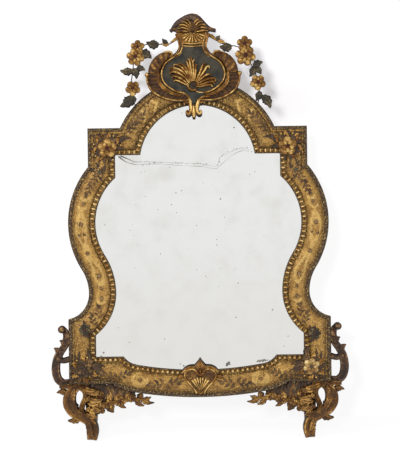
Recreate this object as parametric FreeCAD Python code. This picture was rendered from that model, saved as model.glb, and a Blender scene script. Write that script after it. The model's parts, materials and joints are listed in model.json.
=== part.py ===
"""Carved and gilded table mirror with a pierced cresting, wire garlands and folding props."""
import FreeCAD, Part
import math
import os
from FreeCAD import Vector

os.makedirs("parts", exist_ok=True)

# Sizes in mm. The face plane is upright here and leans back at the very end.
LEAN_DEG = 5.0

# Outer outline of the frame, right half, seen from the front
FRAME_WIDTH = 45.0
SHOULDER_Z = 529.0
SHOULDER_HALF = 186.0
ARCH_RADIUS = 144.0
ARCH_CENTRE_DROP = 60.0
BULGE_HALF = 221.0
BULGE_Z = 368.0
BULGE_RADIUS = 148.0
WAIST_HALF = 187.0
WAIST_Z = 249.0
WAIST_RADIUS = 45.0
SWELL_SHARE = 0.66
BASE_HALF = 222.5
BASE_Z = 95.0
APRON_Z = 71.0
APRON_RADIUS = 652.0
APRON_TURN_X = 116.0
APRON_TURN_RADIUS = 80.0

# Moulded face, as depth in front of the back of the boards
EDGE_HEIGHT = 14.0
ROLL_WIDTH = 8.0
ROLL_RISE = 4.5
QUIRK = 1.2
FIELD_EDGE = 19.0
FIELD_CROWN = 24.0
CHANNEL_WIDTH = 8.0
CHANNEL_DEPTH = 16.0
LIP_WIDTH = 1.5
LIP_DEPTH = 18.5
REBATE_WIDTH = 8.0
GLASS_FRONT = 11.0
GLASS_THICK = 3.0
GLASS_FIT = 0.5
BACKBOARD_THICK = 5.0
BACKBOARD_SPLIT_Z = 330.0
BOARD_GAP = 0.3
BEAD_RADIUS = 2.95
BEAD_PITCH = 8.8

# Blocks in the rebate and butterfly keys in the mitres
BLOCK_LENGTH = 22.0
BLOCK_WIDTH = 7.0
KEY_LENGTH = 26.0
KEY_END = 13.0
KEY_WAIST = 7.0
KEY_THICK = 5.0
KEY_FIT = 0.1
KEY_INSET = 22.0

# Applied carving sits this far in front of the crown of the moulding
SEAT_GAP = 0.3
FLOWER_RISE = 7.0

# Cresting, in its own upright frame, then shifted and tipped as on the old piece
CREST_SHIFT = -5.2
CREST_TIP_DEG = 0.3
CREST_DRAWN_APEX = 615.0
CREST_FOOT_Z = 574.0
CREST_PLATE = 5.0
CREST_PANEL = 8.0
CREST_CAP_THICK = 9.0
CREST_BLOCK_HALF = 26.0
CREST_BLOCK_RISE = 37.0
CREST_BLOCK_BACK = 3.0
FRETWORK_FIT = 0.2
WIRE_RADIUS = 0.9
WIRE_DEPTH = 27.0
GARLAND_DRAWN_APEX = 615.0

# Ears, feet and aprons
EAR_DEPTH = 9.0
EAR_DROP = 3.0
FOOT_DEPTH = 12.0
FOOT_DRAWN_HEIGHT = 95.0
FOOT_INSET = 33.0
FOOT_EYE_RISE = 4.0
APRON_DEPTH = 6.0
APRON_INSET = 44.5
CARVING_BACK = 2.0
FOOT_BACK = 0.5
HEART_LIFT = 4.0
HEART_PLATE = 2.2

# Folding props and their hinges
PROP_INNER = 187.0
PROP_THICK = 10.0
PROP_REACH = 120.0
PROP_TOP = 203.0
PROP_HEEL_Z = 16.0
PROP_TOE = 30.0
LEAF_THICK = 1.2
LEAF_GAP = 0.4
HINGE_LENGTH = 32.0
HINGE_LOW_Z = 128.0
HINGE_HIGH_Z = 168.0
KNUCKLE_RADIUS = 2.2
KNUCKLE_GAP = 0.2
PIN_RADIUS = 1.2
PIN_FIT = 0.05
PIN_HEAD = 0.8
SCREW_RADIUS = 1.2
SCREW_HEAD_RADIUS = 2.1
SCREW_HEAD_THICK = 0.7
SCREW_LENGTH = 7.0
SCREW_FIT = 0.05

FRONT = Vector(0, -1, 0)
SEAT = FIELD_CROWN + SEAT_GAP
SIGHT = FRAME_WIDTH
REBATE_U = FRAME_WIDTH - REBATE_WIDTH
BEAD_U = FRAME_WIDTH - LIP_WIDTH - CHANNEL_WIDTH / 2
parts = {}


def at(x, z, depth=0.0):
    """A point of the face plane, raised by a depth towards the viewer."""
    return Vector(x, -depth, z)


def arc_centres():
    """Centres and radii of the outline's arcs, right half."""
    span = BULGE_Z - WAIST_Z
    step = BULGE_HALF - WAIST_HALF
    both = (step * step + span * span) / (2 * step)
    swell = both * SWELL_SHARE
    hollow = both - swell
    apron_mid = APRON_Z + APRON_RADIUS
    turn = math.asin(APRON_TURN_X / APRON_RADIUS)
    turn_x = (APRON_RADIUS - APRON_TURN_RADIUS) * math.sin(turn)
    turn_z = apron_mid - (APRON_RADIUS - APRON_TURN_RADIUS) * math.cos(turn)
    return {
        "arch": (0.0, SHOULDER_Z - ARCH_CENTRE_DROP, ARCH_RADIUS, -1),
        "bulge": (BULGE_HALF - BULGE_RADIUS, BULGE_Z, BULGE_RADIUS, -1),
        "swell": (BULGE_HALF - swell, BULGE_Z, swell, -1),
        "hollow": (WAIST_HALF + hollow, WAIST_Z, hollow, 1),
        "flare": (WAIST_HALF + WAIST_RADIUS, WAIST_Z, WAIST_RADIUS, 1),
        "turn": (turn_x, turn_z, APRON_TURN_RADIUS, -1),
        "apron": (0.0, apron_mid, APRON_RADIUS, -1),
    }


ARCS = arc_centres()


def radius_at(name, u):
    """Radius of an arc of the outline, u in from the outer edge."""
    return ARCS[name][2] + ARCS[name][3] * u


def corners(u):
    """Corner points of the right half outline, u in from the outer edge."""
    arch_z = ARCS["arch"][1]
    bulge_x, bulge_z = ARCS["bulge"][:2]
    flare_x, flare_z = ARCS["flare"][:2]
    turn_x, turn_z = ARCS["turn"][:2]
    top = SHOULDER_Z - u
    side = SHOULDER_HALF - u
    base_side = BASE_HALF - u
    base = BASE_Z + u
    swell_x, swell_z = ARCS["swell"][:2]
    hollow_x, hollow_z = ARCS["hollow"][:2]
    reach = math.hypot(hollow_x - swell_x, hollow_z - swell_z)
    share = radius_at("swell", u) / reach
    lean = APRON_TURN_X / APRON_RADIUS
    apron_r = radius_at("apron", u)
    return {
        "apex": (0.0, arch_z + radius_at("arch", u)),
        "arch_end": (math.sqrt(radius_at("arch", u) ** 2 - (top - arch_z) ** 2), top),
        "shoulder": (side, top),
        "ledge": (side, bulge_z + math.sqrt(radius_at("bulge", u) ** 2 - (side - bulge_x) ** 2)),
        "bulge": (BULGE_HALF - u, BULGE_Z),
        "turnover": (swell_x + share * (hollow_x - swell_x), swell_z + share * (hollow_z - swell_z)),
        "waist": (WAIST_HALF - u, WAIST_Z),
        "flare": (base_side, flare_z - math.sqrt(radius_at("flare", u) ** 2 - (flare_x - base_side) ** 2)),
        "base": (base_side, base),
        "dip": (turn_x + math.sqrt(radius_at("turn", u) ** 2 - (base - turn_z) ** 2), base),
        "apron": (apron_r * lean, ARCS["apron"][1] - apron_r * math.sqrt(1 - lean * lean)),
        "middle": (0.0, ARCS["apron"][1] - apron_r),
    }


RUNS = [("apex", "arch_end", "arch"), ("arch_end", "shoulder", None), ("shoulder", "ledge", None),
        ("ledge", "bulge", "bulge"), ("bulge", "turnover", "swell"), ("turnover", "waist", "hollow"),
        ("waist", "flare", "flare"), ("flare", "base", None), ("base", "dip", None),
        ("dip", "apron", "turn"), ("apron", "middle", "apron")]


def arc_angles(name, start, end):
    """First and last angle of an arc run, measured at its centre the short way round."""
    cx, cz = ARCS[name][:2]
    first = math.atan2(start[1] - cz, start[0] - cx)
    last = math.atan2(end[1] - cz, end[0] - cx)
    last -= 2 * math.pi * round((last - first) / (2 * math.pi))
    return first, last


def run_edge(run, u, depth):
    """One run of the outline as an edge at offset u and a depth."""
    spots = corners(u)
    start, end, arc = spots[run[0]], spots[run[1]], run[2]
    if arc is None:
        return Part.makeLine(at(*start, depth), at(*end, depth))
    cx, cz = ARCS[arc][:2]
    first, last = arc_angles(arc, start, end)
    half = (first + last) / 2
    r = radius_at(arc, u)
    middle = at(cx + r * math.cos(half), cz + r * math.sin(half), depth)
    return Part.Arc(at(*start, depth), middle, at(*end, depth)).toShape()


def mirrored(shape):
    """The same shape on the other side of the middle."""
    return shape.mirror(Vector(0, 0, 0), Vector(1, 0, 0))


def closed_outline(u, depth):
    """The whole outline as a closed wire."""
    half = [run_edge(run, u, depth) for run in RUNS]
    return Part.Wire(Part.__sortEdges__(half + [mirrored(e) for e in half]))


def plate(u, back, front):
    """A board with the frame's outline at offset u, between two depths."""
    face = Part.Face(closed_outline(u, back))
    return face.extrude(FRONT * (front - back))


def profile_face(place):
    """The moulded section; place turns a point (u, depth) into space."""
    field_in = REBATE_U - QUIRK
    field_out = ROLL_WIDTH + QUIRK
    channel_out = FRAME_WIDTH - LIP_WIDTH - CHANNEL_WIDTH
    lip_out = FRAME_WIDTH - LIP_WIDTH
    roll_top = EDGE_HEIGHT + ROLL_RISE
    field_mid = (field_out + min(field_in, channel_out)) / 2
    field_end = min(field_in, channel_out)
    edges = [
        ((0, 0), (0, EDGE_HEIGHT)),
        ((0, EDGE_HEIGHT), (ROLL_WIDTH / 2, roll_top), (ROLL_WIDTH, EDGE_HEIGHT)),
        ((ROLL_WIDTH, EDGE_HEIGHT), (field_out, EDGE_HEIGHT)),
        ((field_out, EDGE_HEIGHT), (field_out, FIELD_EDGE)),
        ((field_out, FIELD_EDGE), (field_mid, FIELD_CROWN), (field_end, FIELD_EDGE)),
        ((field_end, FIELD_EDGE), (field_end, CHANNEL_DEPTH)),
        ((field_end, CHANNEL_DEPTH), (lip_out, CHANNEL_DEPTH)),
        ((lip_out, CHANNEL_DEPTH), (lip_out, LIP_DEPTH)),
        ((lip_out, LIP_DEPTH), (FRAME_WIDTH, LIP_DEPTH)),
        ((FRAME_WIDTH, LIP_DEPTH), (FRAME_WIDTH, GLASS_FRONT)),
        ((FRAME_WIDTH, GLASS_FRONT), (REBATE_U, GLASS_FRONT)),
        ((REBATE_U, GLASS_FRONT), (REBATE_U, 0)),
        ((REBATE_U, 0), (0, 0)),
    ]
    wire = []
    for edge in edges:
        spots = [place(*p) for p in edge]
        if len(spots) == 2:
            wire.append(Part.makeLine(*spots))
        else:
            wire.append(Part.Arc(*spots).toShape())
    return Part.Face(Part.Wire(wire))


def beyond(outer, inner, keep):
    """A big block on the far side of the line from outer to inner, away from the point keep."""
    size = 4 * SHOULDER_Z
    along = (at(*inner) - at(*outer)).normalize()
    away = along.cross(FRONT)
    if away.dot(at(*keep) - at(*outer)) > 0:
        away = away * -1
    base = at(*outer) - along * size - FRONT * size
    corners_ = [base, base + along * (2 * size), base + along * (2 * size) + away * size, base + away * size]
    return Part.Face(Part.makePolygon(corners_ + [base])).extrude(FRONT * (2 * size))


def moulding(run, trim_start, trim_end):
    """The moulded board along one run; trimmed ends run past and are cut on the corner line."""
    outer, inner = corners(0.0), corners(SIGHT)
    start, end, arc = outer[run[0]], outer[run[1]], run[2]
    over = 2 * FRAME_WIDTH
    if arc is None:
        along = (at(*end) - at(*start)).normalize()
        inward = FRONT.cross(along)
        if inward.dot(at(*inner[run[0]]) - at(*start)) < 0:
            inward = inward * -1
        first = at(*start) - along * (over if trim_start else 0)
        length = (at(*end) - at(*start)).Length
        length += (over if trim_start else 0) + (over if trim_end else 0)
        face = profile_face(lambda u, d: first + inward * u + FRONT * d)
        solid = face.extrude(along * length)
        middle = ((start[0] + end[0] + inner[run[0]][0] + inner[run[1]][0]) / 4,
                  (start[1] + end[1] + inner[run[0]][1] + inner[run[1]][1]) / 4)
    else:
        cx, cz, r, sign = ARCS[arc]
        first, last = arc_angles(arc, start, end)
        half = (first + last) / 2
        turn = math.copysign(1.0, last - first)
        spare = min(over / r, 0.6)
        first -= turn * spare if trim_start else 0
        last += turn * spare if trim_end else 0
        ray = Vector(math.cos(first), 0, math.sin(first))
        centre = at(cx, cz)
        face = profile_face(lambda u, d: centre + ray * (r + sign * u) + FRONT * d)
        solid = face.revolve(centre, FRONT, math.degrees(last - first))
        mid_r = r + sign * FRAME_WIDTH / 2
        middle = (cx + mid_r * math.cos(half), cz + mid_r * math.sin(half))
    if trim_start:
        solid = solid.cut(beyond(outer[run[0]], inner[run[0]], middle))
    if trim_end:
        solid = solid.cut(beyond(outer[run[1]], inner[run[1]], middle))
    return solid


def joined(solids):
    """One solid out of several that touch or cross."""
    return solids[0].multiFuse(solids[1:]).removeSplitter()


def smooth(points, samples):
    """Places and directions at even steps along a smooth curve through points."""
    curve = Part.BSplineCurve()
    curve.interpolate([Vector(*p) for p in points])
    marks = [curve.parameter(Vector(*p)) for p in points]
    out = []
    for i in range(samples):
        t = marks[0] + (marks[-1] - marks[0]) * i / (samples - 1)
        k = max(j for j in range(len(marks) - 1) if marks[j] <= t + 1e-9)
        share = (t - marks[k]) / (marks[k + 1] - marks[k])
        out.append((curve.value(t), curve.tangent(t)[0], k, share))
    return out


def stroke(points, widths, depth, rise, sink=2.0, samples=0):
    """A carved stem or lobe: roof-shaped sections, half-width and rise shrinking together.

    The path lies in the face plane; the section has a flat back, steep sides and a flat crest.
    """
    count = samples or 2 * len(points) - 1
    sections = []
    for spot, along, k, share in smooth([(x, 0, z) for x, z in points], count):
        half = widths[k] + (widths[k + 1] - widths[k]) * share
        side = along.cross(Vector(0, 1, 0)).normalize()
        low = spot + FRONT * (depth - sink)
        high = spot + FRONT * depth
        ring = [low + side * half, high + side * (0.94 * half) + FRONT * (0.5 * half * rise),
                high + side * (0.42 * half) + FRONT * (half * rise),
                high - side * (0.42 * half) + FRONT * (half * rise),
                high - side * (0.94 * half) + FRONT * (0.5 * half * rise), low - side * half]
        sections.append(Part.makePolygon(ring + ring[:1]))
    return Part.makeLoft(sections, True, True)


def rod(points, radius):
    """A bent wire of six flats along a smooth path in space, given as (x, z, depth)."""
    sections = []
    for spot, along, k, share in smooth([at(*p) for p in points], 3 * len(points) - 2):
        side = along.cross(Vector(0, 1, 0.01)).normalize()
        up = side.cross(along).normalize()
        ring = [spot + side * (radius * math.cos(a)) + up * (radius * math.sin(a))
                for a in [math.pi / 3 * i for i in range(6)]]
        sections.append(Part.makePolygon(ring + ring[:1]))
    return Part.makeLoft(sections, True, True)


def in_front(solid, depth):
    """What of a solid lies in front of a depth."""
    box = solid.BoundBox
    slab = Part.makeBox(box.XLength + 2, 400, box.ZLength + 2, Vector(box.XMin - 1, -depth, box.ZMin - 1))
    return solid.cut(slab)


def carving(strokes, back):
    """Strokes joined into one carving with a flat back at a depth."""
    return in_front(joined(strokes), back)


def flower(x, z, depth, radius, petals, turn_deg=0.0):
    """A rosette: radial petals round a domed heart, flat at the back."""
    pieces = []
    heart = Part.makeCone(0.42 * radius, 0.26 * radius, FLOWER_RISE * radius / 15, at(x, z, depth), FRONT)
    pieces.append(heart)
    for i in range(petals):
        a = math.radians(turn_deg + 360.0 * i / petals)
        ray = (math.cos(a), math.sin(a))
        spots = [(x + ray[0] * r * radius, z + ray[1] * r * radius) for r in (0.2, 0.55, 0.82, 1.0)]
        broad = math.pi / petals * radius
        lobe = stroke(spots, [0.3 * broad, 0.62 * broad, 0.7 * broad, 0.3 * broad], depth, 0.55, samples=4)
        pieces.append(lobe)
    return in_front(joined(pieces), depth)


def leaf(x, z, depth, angle_deg, length, width, bend=0.0):
    """A pointed leaf from its stalk end at (x, z), flat at the back."""
    a = math.radians(angle_deg)
    spots = []
    for t in (0.0, 0.3, 0.55, 0.8, 1.0):
        sway = bend * length * t * (1 - t)
        spots.append((x + math.cos(a) * length * t - math.sin(a) * sway,
                      z + math.sin(a) * length * t + math.cos(a) * sway))
    halves = [0.16 * width, 0.44 * width, 0.5 * width, 0.3 * width, 0.05 * width]
    return stroke(spots, halves, depth, 0.5, samples=5)


def closed_face(half_runs, depth):
    """A face symmetric about the middle from right-half runs, top to bottom."""
    edges = []
    for run in half_runs:
        if len(run) == 2:
            edges.append(Part.makeLine(at(*run[0], depth), at(*run[1], depth)))
        else:
            curve = Part.BSplineCurve()
            curve.interpolate([at(*p, depth) for p in run])
            edges.append(curve.toShape())
    return Part.Face(Part.Wire(Part.__sortEdges__(edges + [mirrored(e) for e in edges])))


# Frame boards: arch, square corner blocks, swelling stiles and dipped bottom rail
def board(chain):
    """Moulded runs joined; each entry is (run, trim start, trim end)."""
    return joined([moulding(RUNS[i], first, last) for i, first, last in chain])


half_arch = moulding(RUNS[0], False, True)
arch_rail = joined([half_arch, mirrored(half_arch)])
upper_block = board([(1, True, True), (2, True, True)])
stile = board([(3, True, False), (4, False, False), (5, False, False), (6, False, True)])
lower_block = board([(7, True, True), (8, True, True)])
half_bottom = board([(9, True, False), (10, False, False)])
bottom_rail = joined([half_bottom, mirrored(half_bottom)])


# Butterfly keys across the joints between the boards, let into the back
def key_shape(outer, inner, spare):
    """A butterfly key across a joint line of the right half, with spare room all round."""
    across = (at(*inner) - at(*outer)).normalize()
    along = FRONT.cross(across)
    centre = at(*outer) + across * KEY_INSET
    length = KEY_LENGTH / 2 + spare
    end = KEY_END / 2 + spare
    waist = KEY_WAIST / 2 + spare
    spots = [centre + along * length + across * end, centre + across * waist,
             centre - along * length + across * end, centre - along * length - across * end,
             centre - across * waist, centre + along * length - across * end]
    return Part.Face(Part.makePolygon(spots + spots[:1])).extrude(FRONT * (KEY_THICK + spare))


outer_corners, sight_corners = corners(0.0), corners(SIGHT)
keys = []
pockets = []
for joint in ("arch_end", "ledge", "flare", "dip"):
    keys.append(key_shape(outer_corners[joint], sight_corners[joint], 0.0))
    pockets.append(key_shape(outer_corners[joint], sight_corners[joint], KEY_FIT))
pocket = Part.makeCompound(pockets + [mirrored(one) for one in pockets])
arch_rail = arch_rail.cut(pocket)
upper_block = upper_block.cut(pocket)
stile = stile.cut(pocket)
lower_block = lower_block.cut(pocket)
bottom_rail = bottom_rail.cut(pocket)
parts["corner_keys"] = Part.makeCompound(keys + [mirrored(one) for one in keys])


# Glass, backboards and the blocks in the rebate
glass_back = GLASS_FRONT - GLASS_THICK
board_back = glass_back - BACKBOARD_THICK
parts["mirror_glass"] = plate(REBATE_U + GLASS_FIT, glass_back, GLASS_FRONT)
full_board = plate(REBATE_U + GLASS_FIT, board_back, glass_back)
span = 2 * BULGE_HALF
top_half = Part.makeBox(span, 100, SHOULDER_Z, Vector(-span / 2, -50, BACKBOARD_SPLIT_Z + BOARD_GAP / 2))
low_top = BACKBOARD_SPLIT_Z - BOARD_GAP / 2
low_half = Part.makeBox(span, 100, SHOULDER_Z, Vector(-span / 2, -50, low_top - SHOULDER_Z))
parts["backboard_upper"] = full_board.common(top_half)
parts["backboard_lower"] = full_board.common(low_half)

rebate = corners(REBATE_U)
blocks = []
spots = [((rebate["arch_end"][0] + rebate["shoulder"][0]) / 2, rebate["shoulder"][1], 0, -1),
         (rebate["shoulder"][0], (rebate["shoulder"][1] + rebate["ledge"][1]) / 2, -1, 0),
         (rebate["bulge"][0], rebate["bulge"][1], -1, 0),
         (rebate["base"][0], (rebate["base"][1] + rebate["flare"][1]) / 2, -1, 0),
         ((rebate["dip"][0] + rebate["base"][0]) / 2, rebate["base"][1], 0, 1)]
for x, z, nx, nz in spots:
    sag = BLOCK_LENGTH ** 2 / (8 * (BULGE_RADIUS - REBATE_U)) + FRETWORK_FIT
    cx = x + nx * (BLOCK_WIDTH / 2 + sag)
    cz = z + nz * (BLOCK_WIDTH / 2 + sag)
    wide = BLOCK_WIDTH if nx else BLOCK_LENGTH
    high = BLOCK_LENGTH if nx else BLOCK_WIDTH
    block = Part.makeBox(wide, board_back, high, Vector(cx - wide / 2, -board_back, cz - high / 2))
    blocks += [block, mirrored(block)]
parts["rebate_blocks"] = Part.makeCompound(blocks)


# Pearl beading in the channel
def beads(runs):
    """Domed pearls at an even pitch along a chain of runs."""
    wire = Part.Wire(Part.__sortEdges__([run_edge(RUNS[i], BEAD_U, CHANNEL_DEPTH) for i in runs]))
    count = round(wire.Length / BEAD_PITCH)
    places = wire.discretize(Number=2 * count + 1)[1::2]
    return [Part.makeSphere(BEAD_RADIUS, p, FRONT, 0, 90, 360) for p in places]


top_beads = beads([0, 1])
side_beads = beads([2, 3, 4, 5, 6, 7])
low_beads = beads([8, 9, 10])
parts["beading_top"] = Part.makeCompound(top_beads + [mirrored(b) for b in top_beads])
parts["beading_right"] = Part.makeCompound(side_beads)
parts["beading_left"] = Part.makeCompound([mirrored(b) for b in side_beads])
parts["beading_bottom"] = Part.makeCompound(low_beads + [mirrored(b) for b in low_beads])


# Cresting. Outlines are right halves, from the top down to the middle of the foot.
crest_back = SEAT
plate_front = crest_back + CREST_PLATE
panel_front = crest_back + CREST_PANEL
PANEL_CENTRE_Z = 622.0
PANEL_NECK = [(0.0, 666.0), (16.5, 666.0)]
PANEL_SIDE = [(16.5, 666.0), (21.0, 655.5), (32.0, 648.0), (46.5, 637.0), (53.0, 620.0), (48.0, 604.0),
              (31.0, 591.0), (0.0, 587.0)]
BORDER_TOP = [(0.0, 676.0), (24.0, 676.0)]
BORDER_NECK = [(24.0, 676.0), (23.5, 667.0), (27.0, 659.0), (33.0, 652.5)]
BORDER_SHOULDER = [(33.0, 652.5), (45.0, 657.5), (60.0, 652.0), (71.0, 640.0), (76.0, 622.0)]
BORDER_STEP = [(76.0, 622.0), (80.0, 618.0)]
BORDER_FOOT = [(80.0, 618.0), (78.0, 604.0), (69.0, 589.0), (52.0, 578.5), (30.0, 573.5), (0.0, 574.0)]
panel = closed_face([PANEL_NECK, PANEL_SIDE], crest_back).extrude(FRONT * CREST_PANEL)
border_plate = closed_face([BORDER_TOP, BORDER_NECK, BORDER_SHOULDER, BORDER_STEP, BORDER_FOOT], crest_back)
border_plate = border_plate.extrude(FRONT * CREST_PLATE)


def border_half():
    """The scrolls of the right half of the border."""
    return [
        stroke([(37, 652), (47, 652), (59, 646), (67, 636), (71, 624)], [3.0, 5.0, 6.0, 5.5, 3.0],
               plate_front, 0.75),
        stroke([(76, 616), (74, 605), (65, 592), (49, 583), (29, 578), (9, 578)],
               [3.0, 4.5, 6.0, 5.5, 4.5, 3.5], plate_front, 0.75, sink=1.8),
        stroke([(62, 626), (61, 612), (52, 597), (36, 587)], [2.0, 3.5, 3.5, 2.0], plate_front, 0.8,
            sink=1.6),
        stroke([(20, 674), (20, 664), (25, 655), (34, 651)], [2.6, 2.8, 3.0, 2.4], plate_front, 0.9,
            sink=1.4),
    ]


scrolls = border_half()
border = joined([border_plate] + scrolls + [mirrored(s) for s in scrolls])


def grown(run, spare):
    """Points of a run moved away from the middle of the panel by a spare room."""
    out = []
    for x, z in run:
        dx, dz = x, z - PANEL_CENTRE_Z
        reach = math.hypot(dx, dz)
        out.append((x + spare * dx / reach, z + spare * dz / reach))
    return out


panel_hole = closed_face([grown(PANEL_NECK, FRETWORK_FIT), grown(PANEL_SIDE, FRETWORK_FIT)], crest_back - 1)
panel_hole = panel_hole.extrude(FRONT * 40)
border = border.cut(panel_hole)

plume_strokes = [stroke([(0, 594), (-3, 612), (-7, 630), (-3, 648)], [5.0, 7.0, 6.0, 1.5], panel_front, 0.8)]
for side in (1, -1):
    plume_strokes += [
        stroke([(3 * side, 597), (12 * side, 614), (15 * side, 630), (24 * side, 638)],
               [4.0, 5.0, 4.5, 1.5], panel_front, 0.8, sink=1.8),
        stroke([(4 * side, 598), (17 * side, 609), (27 * side, 622), (37 * side, 628)],
               [4.0, 5.0, 4.5, 1.5], panel_front, 0.8, sink=1.6),
        stroke([(4 * side, 598), (18 * side, 602), (30 * side, 606), (38 * side, 613)],
               [4.0, 4.5, 4.0, 1.5], panel_front, 0.8, sink=1.4),
        stroke([(3 * side, 596), (12 * side, 592), (21 * side, 594), (26 * side, 600)],
               [4.0, 3.5, 3.0, 1.2], panel_front, 0.8, sink=1.2),
    ]
plume = carving(plume_strokes, panel_front)

CAP_SIDE = [(0.0, 721.0), (12.0, 717.0), (22.0, 706.0), (39.0, 695.0)]
CAP_TIP = [(39.0, 695.0), (38.0, 691.0)]
CAP_UNDER = [(38.0, 691.0), (29.0, 691.0), (24.0, 686.0), (22.0, 676.0 + FRETWORK_FIT)]
CAP_FOOT = [(22.0, 676.0 + FRETWORK_FIT), (0.0, 676.0 + FRETWORK_FIT)]
cap = closed_face([CAP_SIDE, CAP_TIP, CAP_UNDER, CAP_FOOT], crest_back).extrude(FRONT * CREST_CAP_THICK)
cap_front = crest_back + CREST_CAP_THICK
shell_strokes = [stroke([(0, 681), (0, 692), (0, 702), (0, 712)], [3.5, 4.5, 4.5, 2.0], cap_front, 0.8)]
for side in (1, -1):
    shell_strokes += [
        stroke([(2 * side, 681), (8 * side, 691), (12 * side, 700), (13 * side, 708)],
               [3.0, 4.0, 4.0, 1.6], cap_front, 0.8, sink=1.8),
        stroke([(3 * side, 680), (13 * side, 686), (20 * side, 694), (24 * side, 700)],
               [3.0, 4.2, 4.0, 1.6], cap_front, 0.8, sink=1.6),
        stroke([(4 * side, 680), (14 * side, 680.5), (23 * side, 685), (29 * side, 692)],
               [2.6, 3.2, 3.4, 1.6], cap_front, 0.8, sink=1.4),
    ]
shell = carving(shell_strokes, cap_front)

clasp_strokes = []
for side in (1, -1):
    clasp_strokes.append(stroke([(17 * side, 586), (9 * side, 576), (4.5 * side, 565), (6 * side, 555),
                                 (9.5 * side, 554)], [2.4, 3.2, 3.4, 2.8, 1.6], plate_front + 1, 0.8,
                                     sink=4.0))
clasp_strokes.append(stroke([(0, 567), (0, 556), (0, 544)], [3.0, 4.4, 1.0], plate_front + 1, 0.8, sink=3.8))
clasp = joined(clasp_strokes).cut(border).cut(panel)

arch_z, arch_r = ARCS["arch"][1], ARCS["arch"][2]
arch_apex = arch_z + arch_r
block_back = CREST_BLOCK_BACK
seat_block = Part.makeBox(2 * CREST_BLOCK_HALF, crest_back - block_back, arch_r + CREST_BLOCK_RISE,
                          Vector(-CREST_BLOCK_HALF, -crest_back, arch_z))
arch_drum = Part.makeCylinder(arch_r, 200, at(0, arch_z, -100), FRONT)
parts["crest_block"] = seat_block.cut(arch_drum)

crest_move = at(CREST_SHIFT, arch_apex - CREST_DRAWN_APEX)
crest_turn = FreeCAD.Placement(crest_move, FreeCAD.Rotation(FRONT, CREST_TIP_DEG), at(0, CREST_FOOT_Z))


def crested(shape):
    """A piece of the cresting, shifted and tipped into its place."""
    return placed(shape, crest_turn)


def placed(shape, placement):
    """A copy of a shape moved by a placement, with the move made part of it."""
    moved = shape.copy()
    moved.Placement = placement.multiply(moved.Placement)
    return moved


parts["crest_panel"] = crested(panel)
parts["crest_border"] = crested(border)
parts["crest_plume"] = crested(plume)
parts["finial_cap"] = crested(cap)
parts["finial_shell"] = crested(shell)
parts["crest_clasp"] = crested(clasp)


# Wire garlands: wires rise from the arch and lean on the cresting; leaves and flowers sit on the wires
wire_front = WIRE_DEPTH + WIRE_RADIUS
arch_top = ARCH_RADIUS + WIRE_RADIUS


def on_arch(angle_deg, depth):
    """A point just on the arch's outer edge, at an angle from the upright."""
    a = math.radians(angle_deg)
    return (arch_top * math.sin(a), arch_z + arch_top * math.cos(a), depth)


garland_lift = arch_apex - GARLAND_DRAWN_APEX


def aloft(spots):
    """Points of the garlands' drawing, lifted to the height of the arch."""
    return [(x, z + garland_lift, depth) for x, z, depth in spots]


LEFT_PATH = [on_arch(-46.5, 7.0)] + aloft([
    (-106.0, 574.0, 14.0), (-107.0, 580.0, 24.0), (-108.5, 587.0, WIRE_DEPTH), (-110.0, 597.0, WIRE_DEPTH),
    (-108.0, 622.0, WIRE_DEPTH), (-104.0, 647.0, WIRE_DEPTH), (-96.0, 664.0, WIRE_DEPTH),
    (-76.0, 672.0, WIRE_DEPTH), (-55.0, 670.0, WIRE_DEPTH), (CREST_SHIFT - 24.0, 686.5, WIRE_DEPTH)])
RIGHT_PATH = [on_arch(46.0, 7.0)] + aloft([
    (105.0, 575.0, 14.0), (106.0, 580.0, 24.0), (106.0, 587.0, WIRE_DEPTH), (104.0, 600.0, WIRE_DEPTH),
    (99.0, 622.0, WIRE_DEPTH), (84.0, 648.0, WIRE_DEPTH), (72.0, 664.0, WIRE_DEPTH),
    (52.0, 668.0, WIRE_DEPTH), (36.0, 675.0, WIRE_DEPTH), (CREST_SHIFT + 23.5, 685.0, WIRE_DEPTH)])
cap_clear = placed(cap, crest_turn)
parts["left_garland_wire"] = rod(LEFT_PATH, WIRE_RADIUS).cut(cap_clear).cut(parts["crest_border"])
parts["right_garland_wire"] = rod(RIGHT_PATH, WIRE_RADIUS).cut(cap_clear).cut(parts["crest_border"])
LEFT_FLOWERS = [(-103.0, 666.0, 10.0, 5), (-105.0, 645.0, 14.0, 6), (-110.0, 596.0, 12.0, 5)]
RIGHT_FLOWERS = [(78.0, 670.0, 11.0, 5), (81.0, 648.0, 16.0, 6), (103.0, 604.0, 13.0, 5)]
LEFT_LEAVES = [(-67.0, 671.5, 170, 19, 15), (-98.0, 656.0, -20, 19, 15), (-109.0, 628.0, 175, 21, 12),
               (-107.0, 633.0, -80, 17, 13), (-108.5, 585.0, 222, 29, 18)]
RIGHT_LEAVES = [(60.0, 667.0, 180, 18, 15), (36.0, 675.0, 60, 8, 7), (96.0, 632.0, 250, 18, 11),
                (97.0, 628.0, 20, 18, 14), (105.5, 590.0, 250, 16, 11), (106.0, 585.0, 303, 24, 15)]


def apart(shapes):
    """Trim each later shape by the earlier ones so that none overlap."""
    out = []
    for shape in shapes:
        for earlier in out:
            if shape.BoundBox.intersect(earlier.BoundBox):
                shape = shape.cut(earlier)
        out.append(max(shape.Solids, key=lambda s: s.Volume))
    return out


for side, flowers, leaves in (("left", LEFT_FLOWERS, LEFT_LEAVES), ("right", RIGHT_FLOWERS, RIGHT_LEAVES)):
    blooms = [flower(x, z + garland_lift, wire_front, r, n, 90 + 20 * i)
              for i, (x, z, r, n) in enumerate(flowers)]
    sprigs = [in_front(leaf(x, z + garland_lift, wire_front, a, length, width), wire_front)
              for x, z, a, length, width in leaves]
    clear = apart([parts[side + "_garland_wire"]] + blooms + sprigs)[1:]
    parts[side + "_garland_flowers"] = Part.makeCompound(clear[:len(blooms)])
    parts[side + "_garland_leaves"] = Part.makeCompound(clear[len(blooms):])


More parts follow.
